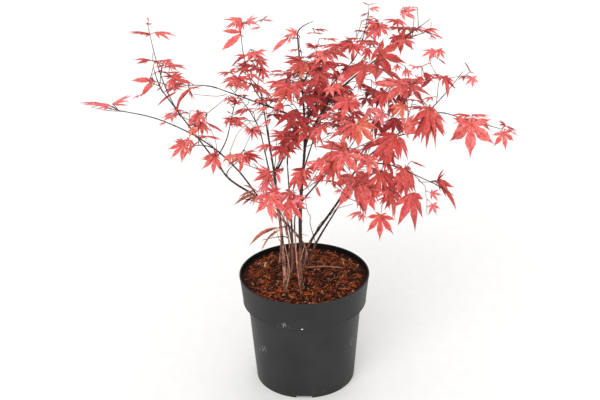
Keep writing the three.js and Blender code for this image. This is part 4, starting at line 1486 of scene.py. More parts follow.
class Growth:
    """Grows the twigs and leaves of one mass."""

    def __init__(self, name: str, mass: Mass, limb: Curve, limb_radius: float, number: int) -> None:
        """Takes the mass, the line of its limb and the limb's radius where the mass's stem starts."""
        self.name, self.mass, self.limb, self.limb_radius = name, mass, limb, limb_radius
        self.rule = GrowthRule()
        self.draws = Draws(self.rule.first_seed + number)
        self.choices = Draws(self.rule.first_seed + number + 900)
        self.leaves: list[Leaf] = []
        self.twigs: list[Twig] = []

    @staticmethod
    def sideways(tangent: Array) -> Shape:
        """Returns the level direction across a twig, and the one that rises from it."""
        level = np.cross(tangent, UP)
        level = unit(level) if np.linalg.norm(level) >= 0.05 else np.array((1.0, 0.0, 0.0))
        return level, unit(np.cross(level, tangent))

    def leaf(self, root: Array, direction: Array, size: float, tint: LeafTint) -> None:
        """Adds a leaf by the source's rule.

        Args:
            root: Where its stalk leaves the twig.
            direction: The way that it points, of which only the level part counts.
            size: Its span in spans of the mass.
            tint: Its colour.
        """
        rule, draws = self.rule, self.draws
        flat = unit(direction * np.array((1, 1, 0)))
        flat = turned(flat, UP, draws.jitter(rule.yaw_jitter))
        share = 1.0 if self.mass.droop > rule.hanging else rule.flatter
        droop = math.radians(self.mass.droop * share) + draws.jitter(rule.droop_jitter)
        roll = draws.jitter(rule.roll_jitter)
        span = self.mass.span * MM * size * draws.between(rule.leaf_size)
        axis = flat * math.cos(droop) - UP * math.sin(droop)
        lean = droop * rule.petiole_droop
        stalk = flat * math.cos(lean) - UP * math.sin(lean)
        side = turned(unit(np.cross(UP, flat)), axis, roll)
        hub = root + stalk * span * rule.stalk_length
        lobe = span / rule.width_over_lobe
        leaf = Leaf(self.name, root, hub, axis, side, unit(np.cross(axis, side)), lobe, tint)
        leaf.give_way(self.choices, rule.drops, rule.folds)
        self.leaves.append(leaf)

    def tip_leaves(self, point: Array, heading: Array, tint: LeafTint, size: float) -> None:
        """Adds the pair of leaves at a twig's end."""
        level, _ = self.sideways(heading)
        root = point - heading * self.rule.root_sink
        for side in (self.rule.tip_spread, -self.rule.tip_spread):
            self.leaf(root, heading + level * side, size, tint)

    def shoot(self, start: Array, away: Array, length: float, tint: LeafTint) -> None:
        """Adds a side shoot with a pair of leaves midway and a pair at its end."""
        rule = self.rule
        tip = start + away * length + UP * length * rule.shoot_lift
        curve = Bend.leaving(start, away, tip)
        self.twigs.append(Twig(self.name, curve, rule.shoot_radius, 6, TwigSkin.YOUNG))
        middle = curve.point(rule.shoot_node)
        level, _ = self.sideways(curve.tangent(rule.shoot_node))
        for side in (1, -1):
            self.leaf(middle, level * side + away * rule.pair_lean, rule.shoot_leaf, tint)
        self.tip_leaves(tip, curve.tangent(1), tint, rule.tip_leaf)

    def tint(self) -> LeafTint:
        """Picks the colour of the next spray."""
        return self.mass.tints[int(self.choices.draw() * len(self.mass.tints))]

    def grow(self) -> None:
        """Grows the mass's stem, shoots and leaves, then its finer twigs."""
        mass, rule = self.mass, self.rule
        heading = self.limb.tangent(mass.at)
        start = self.limb.point(mass.at)
        stem = Bend.leaving(start + heading * (rule.clearance if mass.at == 1 else 0), heading, mm(*mass.tip))
        radius = rule.stem_radius if mass.at == 1 else rule.side_radius
        self.twigs.append(Twig(self.name, stem, (min(self.limb_radius, radius[0] * 1.4), radius[1]), 14))
        for node in range(mass.pairs):
            share = node / (mass.pairs - 1) if mass.pairs > 1 else 0.5
            along = mixed(rule.first_node, rule.last_node, share)
            point, tangent = stem.point(along), stem.tangent(along)
            level, rise = self.sideways(tangent)
            turn = node * rule.node_turn + self.draws.jitter(rule.turn_jitter)
            for side in (1, -1):
                out = level * side * math.cos(turn) + rise * side * math.sin(turn)
                away = unit(out + tangent * rule.shoot_lean)
                length = mass.span * MM * self.draws.between(rule.shoot_length)
                if node < mass.shoots:
                    self.shoot(point, away, length, self.tint())
                else:
                    self.leaf(point, away, 1, self.tint())
        self.tip_leaves(stem.point(1), stem.tangent(1), self.tint(), rule.tip_leaf)
        for twig in list(self.twigs):
            self.finer(twig, rule.fine_nodes, rule.fine_length, rule.fine_leaf)
        if mass.tip[1] > rule.back_from:
            self.finer(self.twigs[0], rule.back_nodes, rule.back_length, rule.back_leaf)

    def finer(self, twig: Twig, nodes: tuple, lengths: tuple, leaves: tuple) -> None:
        """Adds finer twigs with smaller leaves to a twig, which the source leaves out.

        Args:
            twig: The twig that they leave.
            nodes: Where they leave it, as shares of its way.
            lengths: Their least and greatest length, in spans of the mass.
            leaves: The least and greatest size of their leaves, in spans of the mass.
        """
        rule = self.rule
        for along in nodes:
            start, tangent = twig.curve.point(along), twig.curve.tangent(along)
            level, rise = self.sideways(tangent)
            turn = self.draws.draw() * 2 * math.pi
            away = unit(level * math.cos(turn) + rise * math.sin(turn) + tangent * rule.shoot_lean)
            length = self.mass.span * MM * self.draws.between(lengths)
            tip = start + away * length + UP * length * rule.shoot_lift
            curve = Bend.leaving(start, away, tip)
            self.twigs.append(Twig(self.name, curve, rule.fine_radius, 5, TwigSkin.YOUNG))
            self.tip_leaves(tip, curve.tangent(1), self.tint(), self.draws.between(leaves))


# What the photograph shows apart from the rule's own leaves
@dataclass(frozen=True)
class ShownLeaf:
    """A leaf that shows clearly, placed by the pixels of its hub and its middle lobe's tip.

    Its turn is 0 where its upper face looks at the camera, 66 where it lies level and 90 where it is
    edge on. Its hub lies nearer than the mass's twig, and its tip nearer than its hub, in millimetres.
    A leaf that hangs half closed has gathered its lobes to a share of their spread. Its halves fold down
    by some degrees, less where it is seen from the side. Its tips droop by a share of its length.
    """

    hub: Pair
    tip: Pair
    turn: float
    nearer: float
    reach: float
    tint: LeafTint
    gather: float = 1.0
    fold: float = 20.0
    drop: float = 0.07

    @classmethod
    def of(cls, row: tuple) -> "ShownLeaf":
        """Returns the leaf of a row, which starts with the two numbers of its hub and of its tip."""
        return cls(row[:2], row[2:4], *row[4:])


SHOWN_LEAVES: dict[str, tuple[tuple, ...]] = {
    "far_right": (
        (471.5, 124.5, 469.4, 159.2, 0, 14, 14, CORAL, 1.2),
        (470, 115.6, 450, 112.8, 74, 0, 0, SCARLET, 0.45, 30),
        (471.5, 115, 491.5, 114.8, 74, 0, 0, CORAL, 0.45, 30), (503, 132.5, 507, 151, 8, 6, 6, CORAL),
        (508, 130, 519.8, 135.5, 85, 4, 2, PINK, 0.4), (505.5, 125.5, 498, 120, 60, 0, 0, CRIMSON, 0.6),
        (506, 126, 518.5, 131.2, 75, 0, 0, RED, 0.5),
    ),
    "right_shoots": (
        (445, 77.5, 449.8, 98, 50, 6, 8, SCARLET, 0.15, 25), (446, 78.5, 456, 88, 50, 6, 6, RED, 0.15),
        (447, 79, 436, 76, 55, 6, 2, SCARLET, 0.15), (443.5, 77, 456.8, 87.8, 45, 6, 4, RED, 0.6, 25),
        (441, 78, 430, 73.5, 70, 6, 0, RED, 0.6), (472, 77.5, 473, 88.5, 15, 0, 0, PINK),
        (470.5, 72, 465, 61, 80, 0, 0, CRIMSON, 0.4), (470.5, 72, 474.5, 72.6, 70, 0, 0, CRIMSON, 0.6),
        (433.6, 50.8, 420, 56, 45, 6, 4, CORAL), (439, 50, 445, 59.6, 35, 6, 6, SCARLET),
        (437.5, 58.2, 447.8, 64.8, 86, 0, 0, CRIMSON, 0.4), (433, 78, 419, 89, 40, 6, 4, CRIMSON, 0.15),
    ),
    "right_middle": (
        (416.2, 66.8, 406.6, 65.4, 74, 0, 4, PINK), (416.4, 67, 424.8, 65.6, 72, 0, 0, PINK, 0.7),
        (418.5, 79.5, 414, 73.5, 40, 6, 0, RED), (427.5, 78.5, 425.5, 70.5, 45, 4, 0, CRIMSON),
        (427.5, 78.5, 434, 74.8, 50, 4, 0, RED), (397.5, 66, 390.5, 71, 45, 0, 0, CORAL),
        (398, 66, 404, 69.5, 45, 0, 0, CORAL), (406, 71, 400.5, 77.5, 40, 0, 0, CORAL),
        (407, 71, 414.5, 77, 45, 0, 0, PINK), (367, 110.5, 386, 113, 55, 14, 4, PINK, 0.7),
        (367, 111, 372, 121.5, 30, 14, 6, CORAL, 0.5), (377, 119, 375.5, 141, 26, 8, 8, MAROON, 0.5),
        (396, 118, 390.5, 137, 26, 8, 8, CRIMSON, 0.6), (393, 104, 387, 121, 40, 6, 6, MAROON, 0.5),
        (424, 108, 403.5, 105.8, 72, 6, 2, RED, 0.5), (423.5, 74, 438.5, 79, 60, 6, 2, CRIMSON, 0.6),
        (422, 77, 415, 87, 40, 6, 4, RED, 0.6), (394, 119, 378, 138.5, 30, 10, 8, CRIMSON, 0.15),
        (397, 119, 403.5, 135.5, 30, 10, 8, CRIMSON, 0.15),
    ),
    "right_crown": (
        (405, 86, 370.5, 84, 60, 18, 4, CORAL), (411, 87.5, 434, 95.6, 52, 22, 6, SCARLET),
        (398, 82.5, 420, 80.5, 66, 12, 0, CORAL), (392, 83.5, 378, 79.5, 66, 12, 0, PINK),
        (384.5, 92.5, 366.2, 107, 40, 26, 6, SCARLET), (386.5, 93, 383.5, 108, 30, 22, 8, CORAL),
        (389.5, 93.5, 398.5, 106, 40, 20, 6, RED), (361.5, 83.5, 357, 92.5, 55, 6, 0, CRIMSON, 0.7),
        (363, 83.5, 373, 89, 75, 6, 0, RED, 0.5), (371, 72.5, 362.5, 76, 75, 0, 0, RED, 0.6),
        (369, 48, 363, 62, 30, 4, 4, RED, 0.5), (398, 84.5, 371, 81, 50, 10, 4, CORAL, 0.15),
        (372, 88, 358, 84, 72, 4, 0, RED, 0.4), (374, 92, 359, 88.5, 76, 4, 0, RED, 0.3),
        (383, 92.5, 366, 106, 40, 8, 8, MAROON, 0.5), (384, 94, 384.5, 110, 30, 8, 8, RED, 0.4),
        (398, 95, 409, 110, 30, 8, 8, MAROON, 0.5), (379, 47, 370, 62, 30, 6, 4, RED, 0.15),
    ),
    "right_side": (
        (402.4, 104.9, 389.5, 119, 28, 4, 8, ORANGE),
        (427.5, 108.5, 438.5, 149.8, 55, 26, 20, RED, 0.85, 25),
        (428.5, 110, 448.8, 135, 50, 20, 10, SCARLET, 0.7, 25),
        (426.5, 110, 428.6, 149.5, 55, 16, 16, RED, 0.6, 25),
        (421, 126, 412.5, 139.5, 60, 10, 4, CRIMSON, 0.5), (404.5, 127, 424, 121, 14, 40, 4, CORAL),
        (396.1, 134.4, 363.8, 164.5, 30, 34, 12, RED, 0.5, 25),
        (398.5, 137, 409.5, 160.5, 35, 24, 8, SCARLET, 0.4, 25), (389, 148, 389.5, 171, 35, 20, 8, CORAL),
        (428, 107.5, 433, 103.5, 60, 0, 0, RED), (429, 108.5, 447, 136, 30, 10, 8, RED, 0.15),
        (389, 149, 386.5, 172.5, 20, 14, 8, RED, 0.45), (372, 143, 356.5, 155.5, 40, 10, 4, RED, 0.3),
        (404, 176, 408.5, 200, 18, 14, 8, SCARLET, 0.5), (404, 177, 393, 196.5, 25, 14, 8, RED, 0.4),
        (388, 163, 394, 177, 30, 22, 8, SCARLET, 0.15),
    ),
    "right_front": (
        (349.1, 100.7, 327, 110.5, 30, 16, 8, SCARLET), (352, 101.5, 361, 113.5, 30, 8, 6, SCARLET),
        (350, 100, 358.5, 92.5, 35, 10, 0, CORAL), (334, 86.5, 347.8, 88.2, 35, 14, 0, SCARLET),
        (331, 87, 325, 98, 30, 18, 4, CORAL), (339.5, 79.5, 346.8, 72.2, 30, 6, 0, PINK),
        (358, 124.5, 377.5, 145, 14, 14, 10, ORANGE), (355, 124, 326.5, 137.5, 50, 12, 6, SCARLET, 0.6, 25),
        (355, 123, 335, 121.5, 50, 10, 2, CORAL, 0.8),
        (356, 127, 347.5, 143.5, 45, 10, 6, SCARLET, 0.6, 25), (383, 112.5, 366.2, 110.5, 50, 24, 2, PINK),
        (381.5, 113.5, 372, 127.5, 40, 22, 6, PINK), (358, 118, 328, 117, 80, 10, 0, RED, 0.4),
        (331, 114, 312, 118, 70, 0, 0, SCARLET, 0.5), (347, 151, 312.5, 145.5, 48, 14, 8, CORAL, 0.8, 25),
        (346.3, 151.8, 314.2, 158.8, 30, 10, 10, ORANGE), (347, 149, 338.3, 136.8, 50, 6, 0, ORANGE, 0.7),
        (338, 161, 302, 169, 58, 22, 8, SCARLET, 0.7, 25),
        (337, 162, 312, 179.5, 50, 20, 8, CORAL, 0.6, 25),
        (337, 162, 330.4, 188.8, 45, 16, 10, ORANGE, 0.7, 25), (338.5, 161, 345, 171.5, 35, 16, 4, ORANGE),
        (355, 151.5, 366, 156, 60, 0, 0, RED),
    ),
    "right_front_low": (
        (354.8, 178, 363.8, 216.4, 12, 24, 22, CORAL), (357, 178, 379, 204, 40, 18, 14, PINK),
        (352, 176.5, 333, 178.5, 50, 16, 4, CORAL, 0.8, 25),
        (381.4, 172.2, 387.4, 212, 30, 14, 16, RED, 0.7, 25),
        (380, 173, 371.5, 186, 45, 10, 4, SCARLET, 0.8, 30),
        (404, 168.5, 418, 196, 34, 8, 10, SCARLET, 0.8, 30), (402, 168, 391.5, 169, 60, 4, 0, RED, 0.8),
        (402, 166.5, 393, 163, 78, 0, 0, RED, 0.5), (402, 176, 396, 196, 35, 6, 8, RED),
        (410.8, 193, 415.6, 232.8, 35, 22, 16, RED, 0.6, 25),
        (388, 188, 390.8, 211, 40, 4, 8, RED, 0.7, 25), (386, 193, 372, 188.5, 66, 8, 0, CORAL),
        (387, 197.5, 373.5, 201.5, 66, 8, 0, SCARLET), (380.7, 215, 378.6, 242.4, 4, 18, 12, SCARLET, 0.85),
        (360.8, 212.5, 344.2, 216.6, 60, 12, 4, PINK, 0.7), (363, 215, 358, 222.8, 40, 10, 2, PINK),
        (341, 190, 332, 192.5, 60, 0, 0, PINK, 0.7), (348, 191, 346, 199.5, 45, 6, 0, CORAL),
        (315, 187, 321.5, 197.5, 20, 4, 4, SCARLET, 0.15), (325, 176, 308.5, 181, 60, 6, 2, RED, 0.5),
        (357, 180, 369.5, 214.5, 14, 30, 16, CORAL, 0.15), (360, 182, 376.5, 203, 18, 32, 14, CORAL, 0.15),
        (363, 184, 376, 212, 8, 36, 14, CORAL, 0.15),
    ),
    "right_low_shoot": (
        (437.5, 181.5, 460, 207.3, 56, 10, 8, RED, 0.15, 25),
        (437.5, 182, 454.5, 186.5, 40, 8, 6, RED, 0.15), (438, 183, 447.5, 198.5, 56, 8, 6, SCARLET, 0.15),
        (438, 181.5, 456, 186.6, 50, 8, 2, RED, 0.8), (437.5, 181, 443.6, 168.4, 65, 6, 0, CRIMSON, 0.45),
        (431.5, 193.3, 443, 194.4, 30, 6, 2, PINK), (432.6, 204.8, 436.5, 215.6, 15, 6, 4, PINK),
        (411, 161, 427, 167.4, 84, 2, 2, RED, 0.5),
    ),
    "front_left": (
        (270.5, 196, 270.5, 224, 10, 8, 16, CORAL), (273, 192, 272, 180, 25, 4, 2, CORAL),
        (275, 192, 283, 187, 40, 2, 0, CORAL), (268, 190, 256, 186.5, 60, 4, 0, PINK, 0.6),
        (271, 205, 276.5, 221, 15, 10, 8, CORAL, 0.15), (276, 171, 281.5, 184, 20, 8, 6, CORAL, 0.15),
    ),
    "front_low": (
        (290, 203, 303.5, 222.5, 15, 12, 12, SCARLET), (289.5, 204, 282.5, 221, 30, 10, 10, CORAL, 0.8),
        (291, 200.5, 312, 196.6, 60, 10, 2, PINK, 0.6), (289, 204, 279.5, 206.8, 50, 8, 2, CORAL, 0.7),
        (290, 214, 288, 221.8, 40, -8, 0, BRONZE, 0.8, 30),
    ),
    "left_low": (
        (256.5, 193.5, 232.2, 202.6, 66, 10, 2, BRONZE, 0.15, 25, 0.2),
        (254, 190.5, 236.5, 194.2, 72, 8, 0, BRONZE, 0.25, 25, 0.2),
        (256, 195.5, 240.5, 205, 66, 8, 0, BRONZE, 0.15), (257, 196.5, 248.8, 203.8, 50, 6, 0, BRONZE, 0.5),
        (257.5, 192, 243, 183.5, 66, 8, 2, BRONZE, 0.15),
    ),
    "low_hanging": (
        (277, 228, 246, 235, 70, 8, 4, BRONZE, 0.15, 25, 0.5),
        (279, 230.5, 256, 241, 74, 10, 4, BRONZE, 0.15, 25, 0.4),
        (277, 228, 262, 230, 74, 8, 4, BRONZE, 0.15, 25, 0.3),
        (275, 230, 271.8, 237.8, 60, 8, 0, BRONZE, 0.15), (280, 206, 278.5, 226, 64, 6, 4, BRONZE, 0.15),
        (284, 224, 287.5, 238, 64, 6, 4, BRONZE, 0.15), (287, 212, 291, 224, 60, 6, 4, BRONZE, 0.15),
    ),
    "centre_left": (
        (270, 172.5, 253, 168.6, 45, 16, 2, CORAL, 0.8), (269.5, 174, 250.3, 181.2, 40, 16, 4, CORAL),
        (272, 175, 257.5, 187, 55, 16, 4, PINK, 0.6, 25), (277, 171, 284.5, 170.5, 45, 10, 0, SCARLET),
        (240.3, 154.8, 239.6, 169, 38, 14, 6, CORAL), (246, 153.5, 265, 160.3, 60, 10, 2, CRIMSON, 0.5),
        (246, 153, 257.5, 150, 60, 8, 0, RED, 0.7), (239.5, 155.5, 228, 158.5, 55, 10, 0, CORAL),
        (244, 156, 258, 161.8, 48, 10, 2, SCARLET), (268, 145.5, 251.5, 148.8, 62, 6, 2, CORAL, 0.8),
        (269, 145, 274, 151, 45, 4, 0, SCARLET), (271, 119.5, 259, 125, 60, 2, 2, CORAL, 0.5),
        (250, 130, 243, 125, 50, 2, 2, CORAL, 0.5),
    ),
    "centre_dark": (
        (285, 149, 267.5, 158.5, 50, 12, 4, SCARLET), (288, 148.5, 301.8, 149.6, 60, 8, 0, RED),
        (286, 150.5, 284.5, 162, 35, 10, 4, ORANGE), (285, 147, 281, 141.5, 50, 6, 0, CRIMSON),
        (297, 136, 267.5, 131, 62, 10, 2, RED), (298, 137, 317, 136.6, 70, 8, 0, SCARLET, 0.7),
        (296, 138, 268, 139, 66, 12, 2, SCARLET, 0.8), (299, 131, 286, 124.5, 50, 0, 0, CRIMSON),
        (303, 129, 312, 121, 50, 0, 0, RED), (284, 136.5, 266.5, 137, 64, 8, 4, SCARLET, 0.6),
        (283, 134, 269, 130, 66, 8, 2, RED, 0.4),
    ),
    "centre_right_low": (
        (303, 171, 287.5, 177, 45, 10, 4, CORAL),
        (298.5, 177, 285.3, 190, 60, 8, 4, CRIMSON, 0.45, 25, 0.2),
        (301.5, 174, 298.8, 194, 34, 10, 8, SCARLET, 0.8), (306, 170.5, 312, 181, 35, 8, 4, RED),
        (305, 168.5, 290, 168.6, 84, 4, 0, CRIMSON, 0.4), (309, 168.5, 327, 167.2, 76, 4, 0, SCARLET, 0.6),
        (304.5, 164, 319, 158.8, 66, 2, 0, PINK, 0.5),
        (317, 187, 322, 196.5, 60, 4, 2, CRIMSON, 0.35, 30, 0.35),
        (302, 172, 288, 185.5, 20, 14, 8, RED, 0.15), (302, 174, 297, 192.5, 15, 14, 8, SCARLET, 0.15),
    ),
    "far_left": (
        (109, 105.5, 77.5, 101, 76, 0, 2, PINK, 0.25), (110, 105.5, 94, 104.6, 66, 4, 2, PINK, 0.5),
        (112, 104.5, 132.8, 95.2, 76, 4, 2, PINK, 0.35), (113, 104.5, 129.5, 104.4, 78, 4, 0, PINK, 0.35),
        (106.5, 106, 103.3, 111.2, 40, 4, 0, PINK, 0.6),
    ),
    "left_spray": (
        (168.2, 114.3, 162.6, 117.4, 30, 0, 0, PINK), (168.8, 114.3, 175, 112.4, 40, 0, 0, PINK),
        (181, 110.5, 169.5, 108.8, 75, 0, 0, CORAL, 0.6), (181, 110.2, 188, 112, 66, 0, 0, PINK),
        (200.5, 113.5, 186.3, 128.5, 42, 4, 4, CORAL, 0.9, 25), (201, 113, 208.3, 112.2, 50, 4, 0, CORAL),
        (203.5, 123, 193, 135.8, 34, 10, 6, SCARLET, 0.8),
        (204, 123.5, 201.3, 134.8, 34, 8, 4, SCARLET, 0.7), (203, 123, 186, 125.6, 74, 6, 0, RED, 0.4),
        (206, 122.5, 226.2, 132.2, 76, 8, 2, RED, 0.3), (166, 122.5, 157, 124.5, 78, 0, 0, PINK, 0.5),
        (196, 137.5, 211.5, 136, 74, 4, 0, CORAL, 0.3), (205, 136, 222.5, 138.5, 76, 4, 0, CORAL, 0.2),
        (199, 113, 186.5, 127.5, 30, 6, 4, CORAL, 0.3),
        (198, 112, 184.5, 128, 40, 8, 4, CORAL, 0.15, 20, 0.3),
    ),
    "left_hanging": (
        (184, 144, 169.5, 160, 15, 8, 12, CORAL, 0.8), (183.5, 142.5, 175.2, 138, 45, 4, 0, RED),
        (190.5, 140.5, 195, 149, 50, 0, 2, CORAL, 0.7), (189, 140, 181, 147, 40, 2, 2, CORAL),
    ),
    "left_inner": (
        (216.5, 157, 200.3, 171, 40, 10, 6, CORAL, 0.9), (215.5, 156.5, 199.8, 157.6, 60, 6, 2, CORAL, 0.8),
        (216.5, 157, 212.8, 147.5, 45, 6, 0, CRIMSON), (217, 160, 213.3, 171.8, 35, 4, 2, PINK, 0.8),
        (243, 159, 240, 174, 20, 6, 6, SCARLET, 0.15), (284, 169, 271.5, 171.5, 60, 6, 2, RED, 0.5),
    ),
    "upper_left": (
        (154, 80.5, 139.8, 95.6, 6, 12, 8, SCARLET, 0.15),
        (154, 80, 130.5, 81, 22, 10, 2, CORAL, 0.15, 20, 0.1), (153, 81, 151.5, 75, 50, 8, 0, CRIMSON, 0.7),
        (153.5, 81, 158, 84, 50, 8, 0, RED), (171, 79, 175.2, 91.5, 24, 14, 6, SCARLET, 0.6),
        (172, 79, 192.8, 83.5, 50, 10, 2, SCARLET, 0.15), (171.5, 78, 183.5, 73.2, 45, 10, 0, SCARLET, 0.6),
        (170, 77, 164.6, 71, 40, 8, 0, CRIMSON, 0.9),
        (191.5, 88.5, 164, 108, 50, 8, 4, SCARLET, 0.15, 25, 0.35),
        (190, 90, 174, 100, 62, 8, 4, RED, 0.15, 20, 0.2), (189, 90, 195.3, 100.5, 60, 6, 2, RED, 0.4),
        (190.5, 88, 203, 86.2, 78, 6, 0, RED, 0.45), (176, 92.5, 154, 104, 76, 4, 0, RED, 0.15, 25, 0.3),
        (162, 86.5, 155.3, 91, 70, 4, 0, CRIMSON, 0.4), (165.5, 84.5, 170.5, 88, 50, 0, 0, CRIMSON),
        (168, 72.5, 181.5, 71.5, 70, 2, 0, SCARLET, 0.3),
    ),
    "left_shoot": (
        (149.5, 60, 132.3, 59.4, 78, 0, 2, RED, 0.6), (149, 60.5, 138, 62.8, 75, 0, 0, CRIMSON, 0.4),
        (152.5, 60.5, 166, 65, 78, 0, 0, RED, 0.5), (166.5, 63.5, 181.5, 67.2, 68, 4, 2, CORAL),
        (164, 65.5, 153.5, 67.2, 75, 4, 0, RED, 0.6), (169, 66, 173.2, 71.8, 50, 4, 0, RED),
        (150, 33.8, 127, 31, 80, 0, 0, RED, 0.4), (150, 33.8, 142.8, 35.8, 60, 0, 0, CORAL, 0.6),
        (155, 32.6, 177, 34.2, 76, 0, 0, CORAL, 0.6), (148.2, 19.5, 147.2, 16.2, 40, 0, 0, CRIMSON),
        (149.4, 24.2, 144.3, 22, 60, 0, 0, CRIMSON, 0.6),
        (149.4, 24.2, 152.6, 22.6, 60, 0, 0, CRIMSON, 0.6),
    ),
    "left_riser": (
        (236.5, 103.5, 229.5, 93.5, 50, 2, 0, CRIMSON, 0.6),
        (237.5, 103.5, 242.8, 98.3, 50, 2, 0, RED, 0.8), (235.5, 103, 233.3, 106, 40, 0, 0, CRIMSON),
        (235.8, 121.6, 248.8, 117.6, 50, 4, 0, SCARLET), (235.5, 121.5, 221.5, 116.2, 66, 4, 0, RED, 0.5),
        (236, 122, 248, 124.5, 66, 4, 0, CORAL), (243, 108.5, 232, 113.5, 70, 2, 0, CRIMSON, 0.3),
        (243, 108, 254.5, 111.8, 74, 2, 0, RED, 0.25), (231, 113.5, 226, 110.5, 70, 2, 0, CRIMSON, 0.3),
    ),
    "mid_left": (
        (251.1, 129.3, 259.5, 140, 40, 6, 4, CORAL, 0.8), (251.5, 129, 267.8, 134, 66, 6, 0, CORAL, 0.6),
        (252, 128.5, 266, 126, 66, 6, 0, PINK, 0.6), (250, 129.5, 241.8, 131.5, 55, 6, 0, CORAL),
        (237.1, 78.3, 218.4, 84.2, 44, 8, 4, SCARLET, 0.7), (237.5, 79, 240.8, 91.8, 30, 4, 6, CORAL, 0.7),
        (238, 78, 254.5, 80.4, 62, 4, 2, SCARLET, 0.8), (229, 72.3, 215.2, 72.3, 78, 2, 2, RED, 0.6),
        (230, 71.5, 238.8, 67.2, 60, 2, 0, RED, 0.7), (228, 73, 221, 76.6, 60, 2, 0, CRIMSON, 0.7),
        (263.5, 70, 262.2, 82.5, 25, 10, 6, SCARLET, 0.9), (287.5, 74.5, 268, 74, 84, 6, 2, PINK, 0.5),
        (248.2, 87.5, 240.5, 87.5, 50, 0, 0, PINK), (247.8, 87, 252.6, 83.2, 60, 0, 0, RED, 0.5),
        (257.5, 90, 266.5, 91, 60, 2, 0, SCARLET), (257.5, 89, 256, 82, 55, 2, 0, CRIMSON),
        (268, 101, 249.8, 100.6, 75, 2, 0, CORAL, 0.6), (262, 101, 249.5, 104.8, 70, 2, 0, CRIMSON, 0.35),
        (262, 66, 263.5, 82, 30, 6, 6, SCARLET, 0.4), (256, 54, 269, 66.5, 50, 6, 4, CORAL, 0.3),
        (249, 66, 231.5, 74, 60, 4, 2, RED, 0.5), (238, 78, 254.5, 80.5, 60, 6, 2, SCARLET, 0.15),
        (253, 76, 266, 84, 50, 4, 2, CORAL, 0.15),
    ),
    "top_left": (
        (242, 21, 222.5, 19.3, 48, 4, 0, CORAL, 0.6),
        (240.5, 21.5, 222.3, 25.6, 70, 4, 0, RED, 0.3, 20, 0.2),
        (238.5, 22, 231.5, 28.3, 50, 2, 0, PINK, 0.7), (242, 22.5, 240.5, 32, 35, 4, 4, CORAL, 0.5),
        (244, 21.8, 249.5, 25, 55, 2, 0, CRIMSON, 0.7), (241.5, 33, 222, 52, 4, 8, 8, CORAL, 0.15),
        (241.5, 32.5, 221.6, 30.4, 26, 10, 2, SCARLET, 0.15), (240.5, 35, 245, 38, 50, 6, 0, CRIMSON),
        (248, 21.5, 258.5, 16.8, 50, 0, 0, PINK), (250, 22, 256, 21, 40, 0, 0, PINK),
        (260, 27.3, 248.5, 29, 78, 0, 0, PINK, 0.5), (262.2, 20.2, 258, 22.6, 60, 0, 0, CRIMSON),
        (262.5, 19.6, 268.5, 14.6, 80, 0, 0, CRIMSON, 0.4), (263, 19.8, 275, 20.4, 84, 0, 0, PINK, 0.5),
        (246, 56, 233.2, 55.2, 66, 4, 0, RED, 0.6),
        (244, 57, 228.5, 62.5, 70, 4, 2, CRIMSON, 0.25, 25, 0.35), (256, 53.5, 242, 57, 60, 2, 0, CORAL),
        (257.5, 52.5, 268.5, 49.8, 62, 2, 0, CORAL), (257, 61, 271.2, 67.8, 50, 4, 2, SCARLET, 0.8),
        (257.5, 60, 270, 59.3, 68, 4, 0, RED, 0.6), (256, 60, 250.3, 58.2, 66, 2, 0, CRIMSON),
        (258, 69, 242, 65, 68, 2, 0, RED), (251, 70, 239.5, 71.6, 72, 2, 0, SCARLET),
        (247, 66.5, 235, 62.5, 78, 0, 0, CRIMSON, 0.4), (241, 21, 239, 35, 40, 10, 4, CORAL, 0.15),
    ),
    "trunk_top": (
        (315, 29.5, 329.2, 29.4, 80, 0, 2, CRIMSON, 0.5), (315, 32.8, 305, 33.2, 84, 0, 2, PINK, 0.7),
        (315, 32.8, 324.5, 33.6, 84, 0, 2, RED, 0.6), (315, 46.5, 317.8, 43, 40, 2, 0, SCARLET),
        (312, 44.5, 304.5, 42.8, 66, 2, 0, RED, 0.7), (312, 45.5, 304.5, 45.8, 74, 2, 0, CRIMSON, 0.5),
        (319, 46, 330, 44.6, 74, 2, 0, RED, 0.6), (315, 47, 304.5, 43.8, 60, 2, 0, RED, 0.5),
        (315, 47, 320.5, 43.5, 50, 2, 0, CRIMSON, 0.6),
    ),
    "upper_centre": (
        (353.5, 44.5, 353, 60.5, 30, 8, 6, SCARLET, 0.8), (352.5, 43, 333.5, 43.6, 60, 8, 0, RED, 0.8),
        (351.5, 46, 334.5, 50, 60, 8, 2, SCARLET, 0.7), (351.5, 40, 343.2, 35.2, 72, 4, 0, CRIMSON, 0.6),
        (355.5, 46, 371, 49, 58, 8, 2, SCARLET, 0.8), (341, 45, 320, 47.4, 74, 4, 0, RED, 0.6),
        (324, 52.5, 308, 53.2, 62, 6, 0, CORAL), (325, 51.5, 341.5, 48.8, 70, 6, 0, CORAL, 0.7),
        (326, 54, 336, 58, 55, 4, 0, PINK), (301.5, 62, 281.5, 62.5, 45, 8, 2, SCARLET, 0.9),
        (299.5, 60.5, 283, 54.3, 70, 6, 0, CRIMSON, 0.3, 20, 0.1), (305.5, 65, 289, 74, 45, 8, 4, ORANGE),
        (306.5, 65, 314, 68.5, 50, 6, 0, RED), (338.5, 65, 319, 62, 70, 6, 0, RED, 0.7),
        (336, 68, 321, 66.5, 78, 6, 0, SCARLET, 0.5), (317, 76, 337.5, 73.5, 48, 12, 2, SCARLET),
        (318, 77, 325.2, 87, 40, 10, 4, RED), (316, 77, 308.8, 81, 45, 10, 0, CRIMSON),
        (356.5, 65.5, 342, 68.8, 66, 4, 0, RED), (297.5, 49.3, 286.2, 50.6, 74, 2, 0, CORAL, 0.6),
        (299, 50, 304.5, 52.6, 66, 2, 0, CRIMSON),
    ),
    "centre": (
        (289, 38, 269.8, 50.8, 30, 4, 4, CORAL, 0.15), (289, 39.5, 290.6, 46, 45, 2, 0, CORAL),
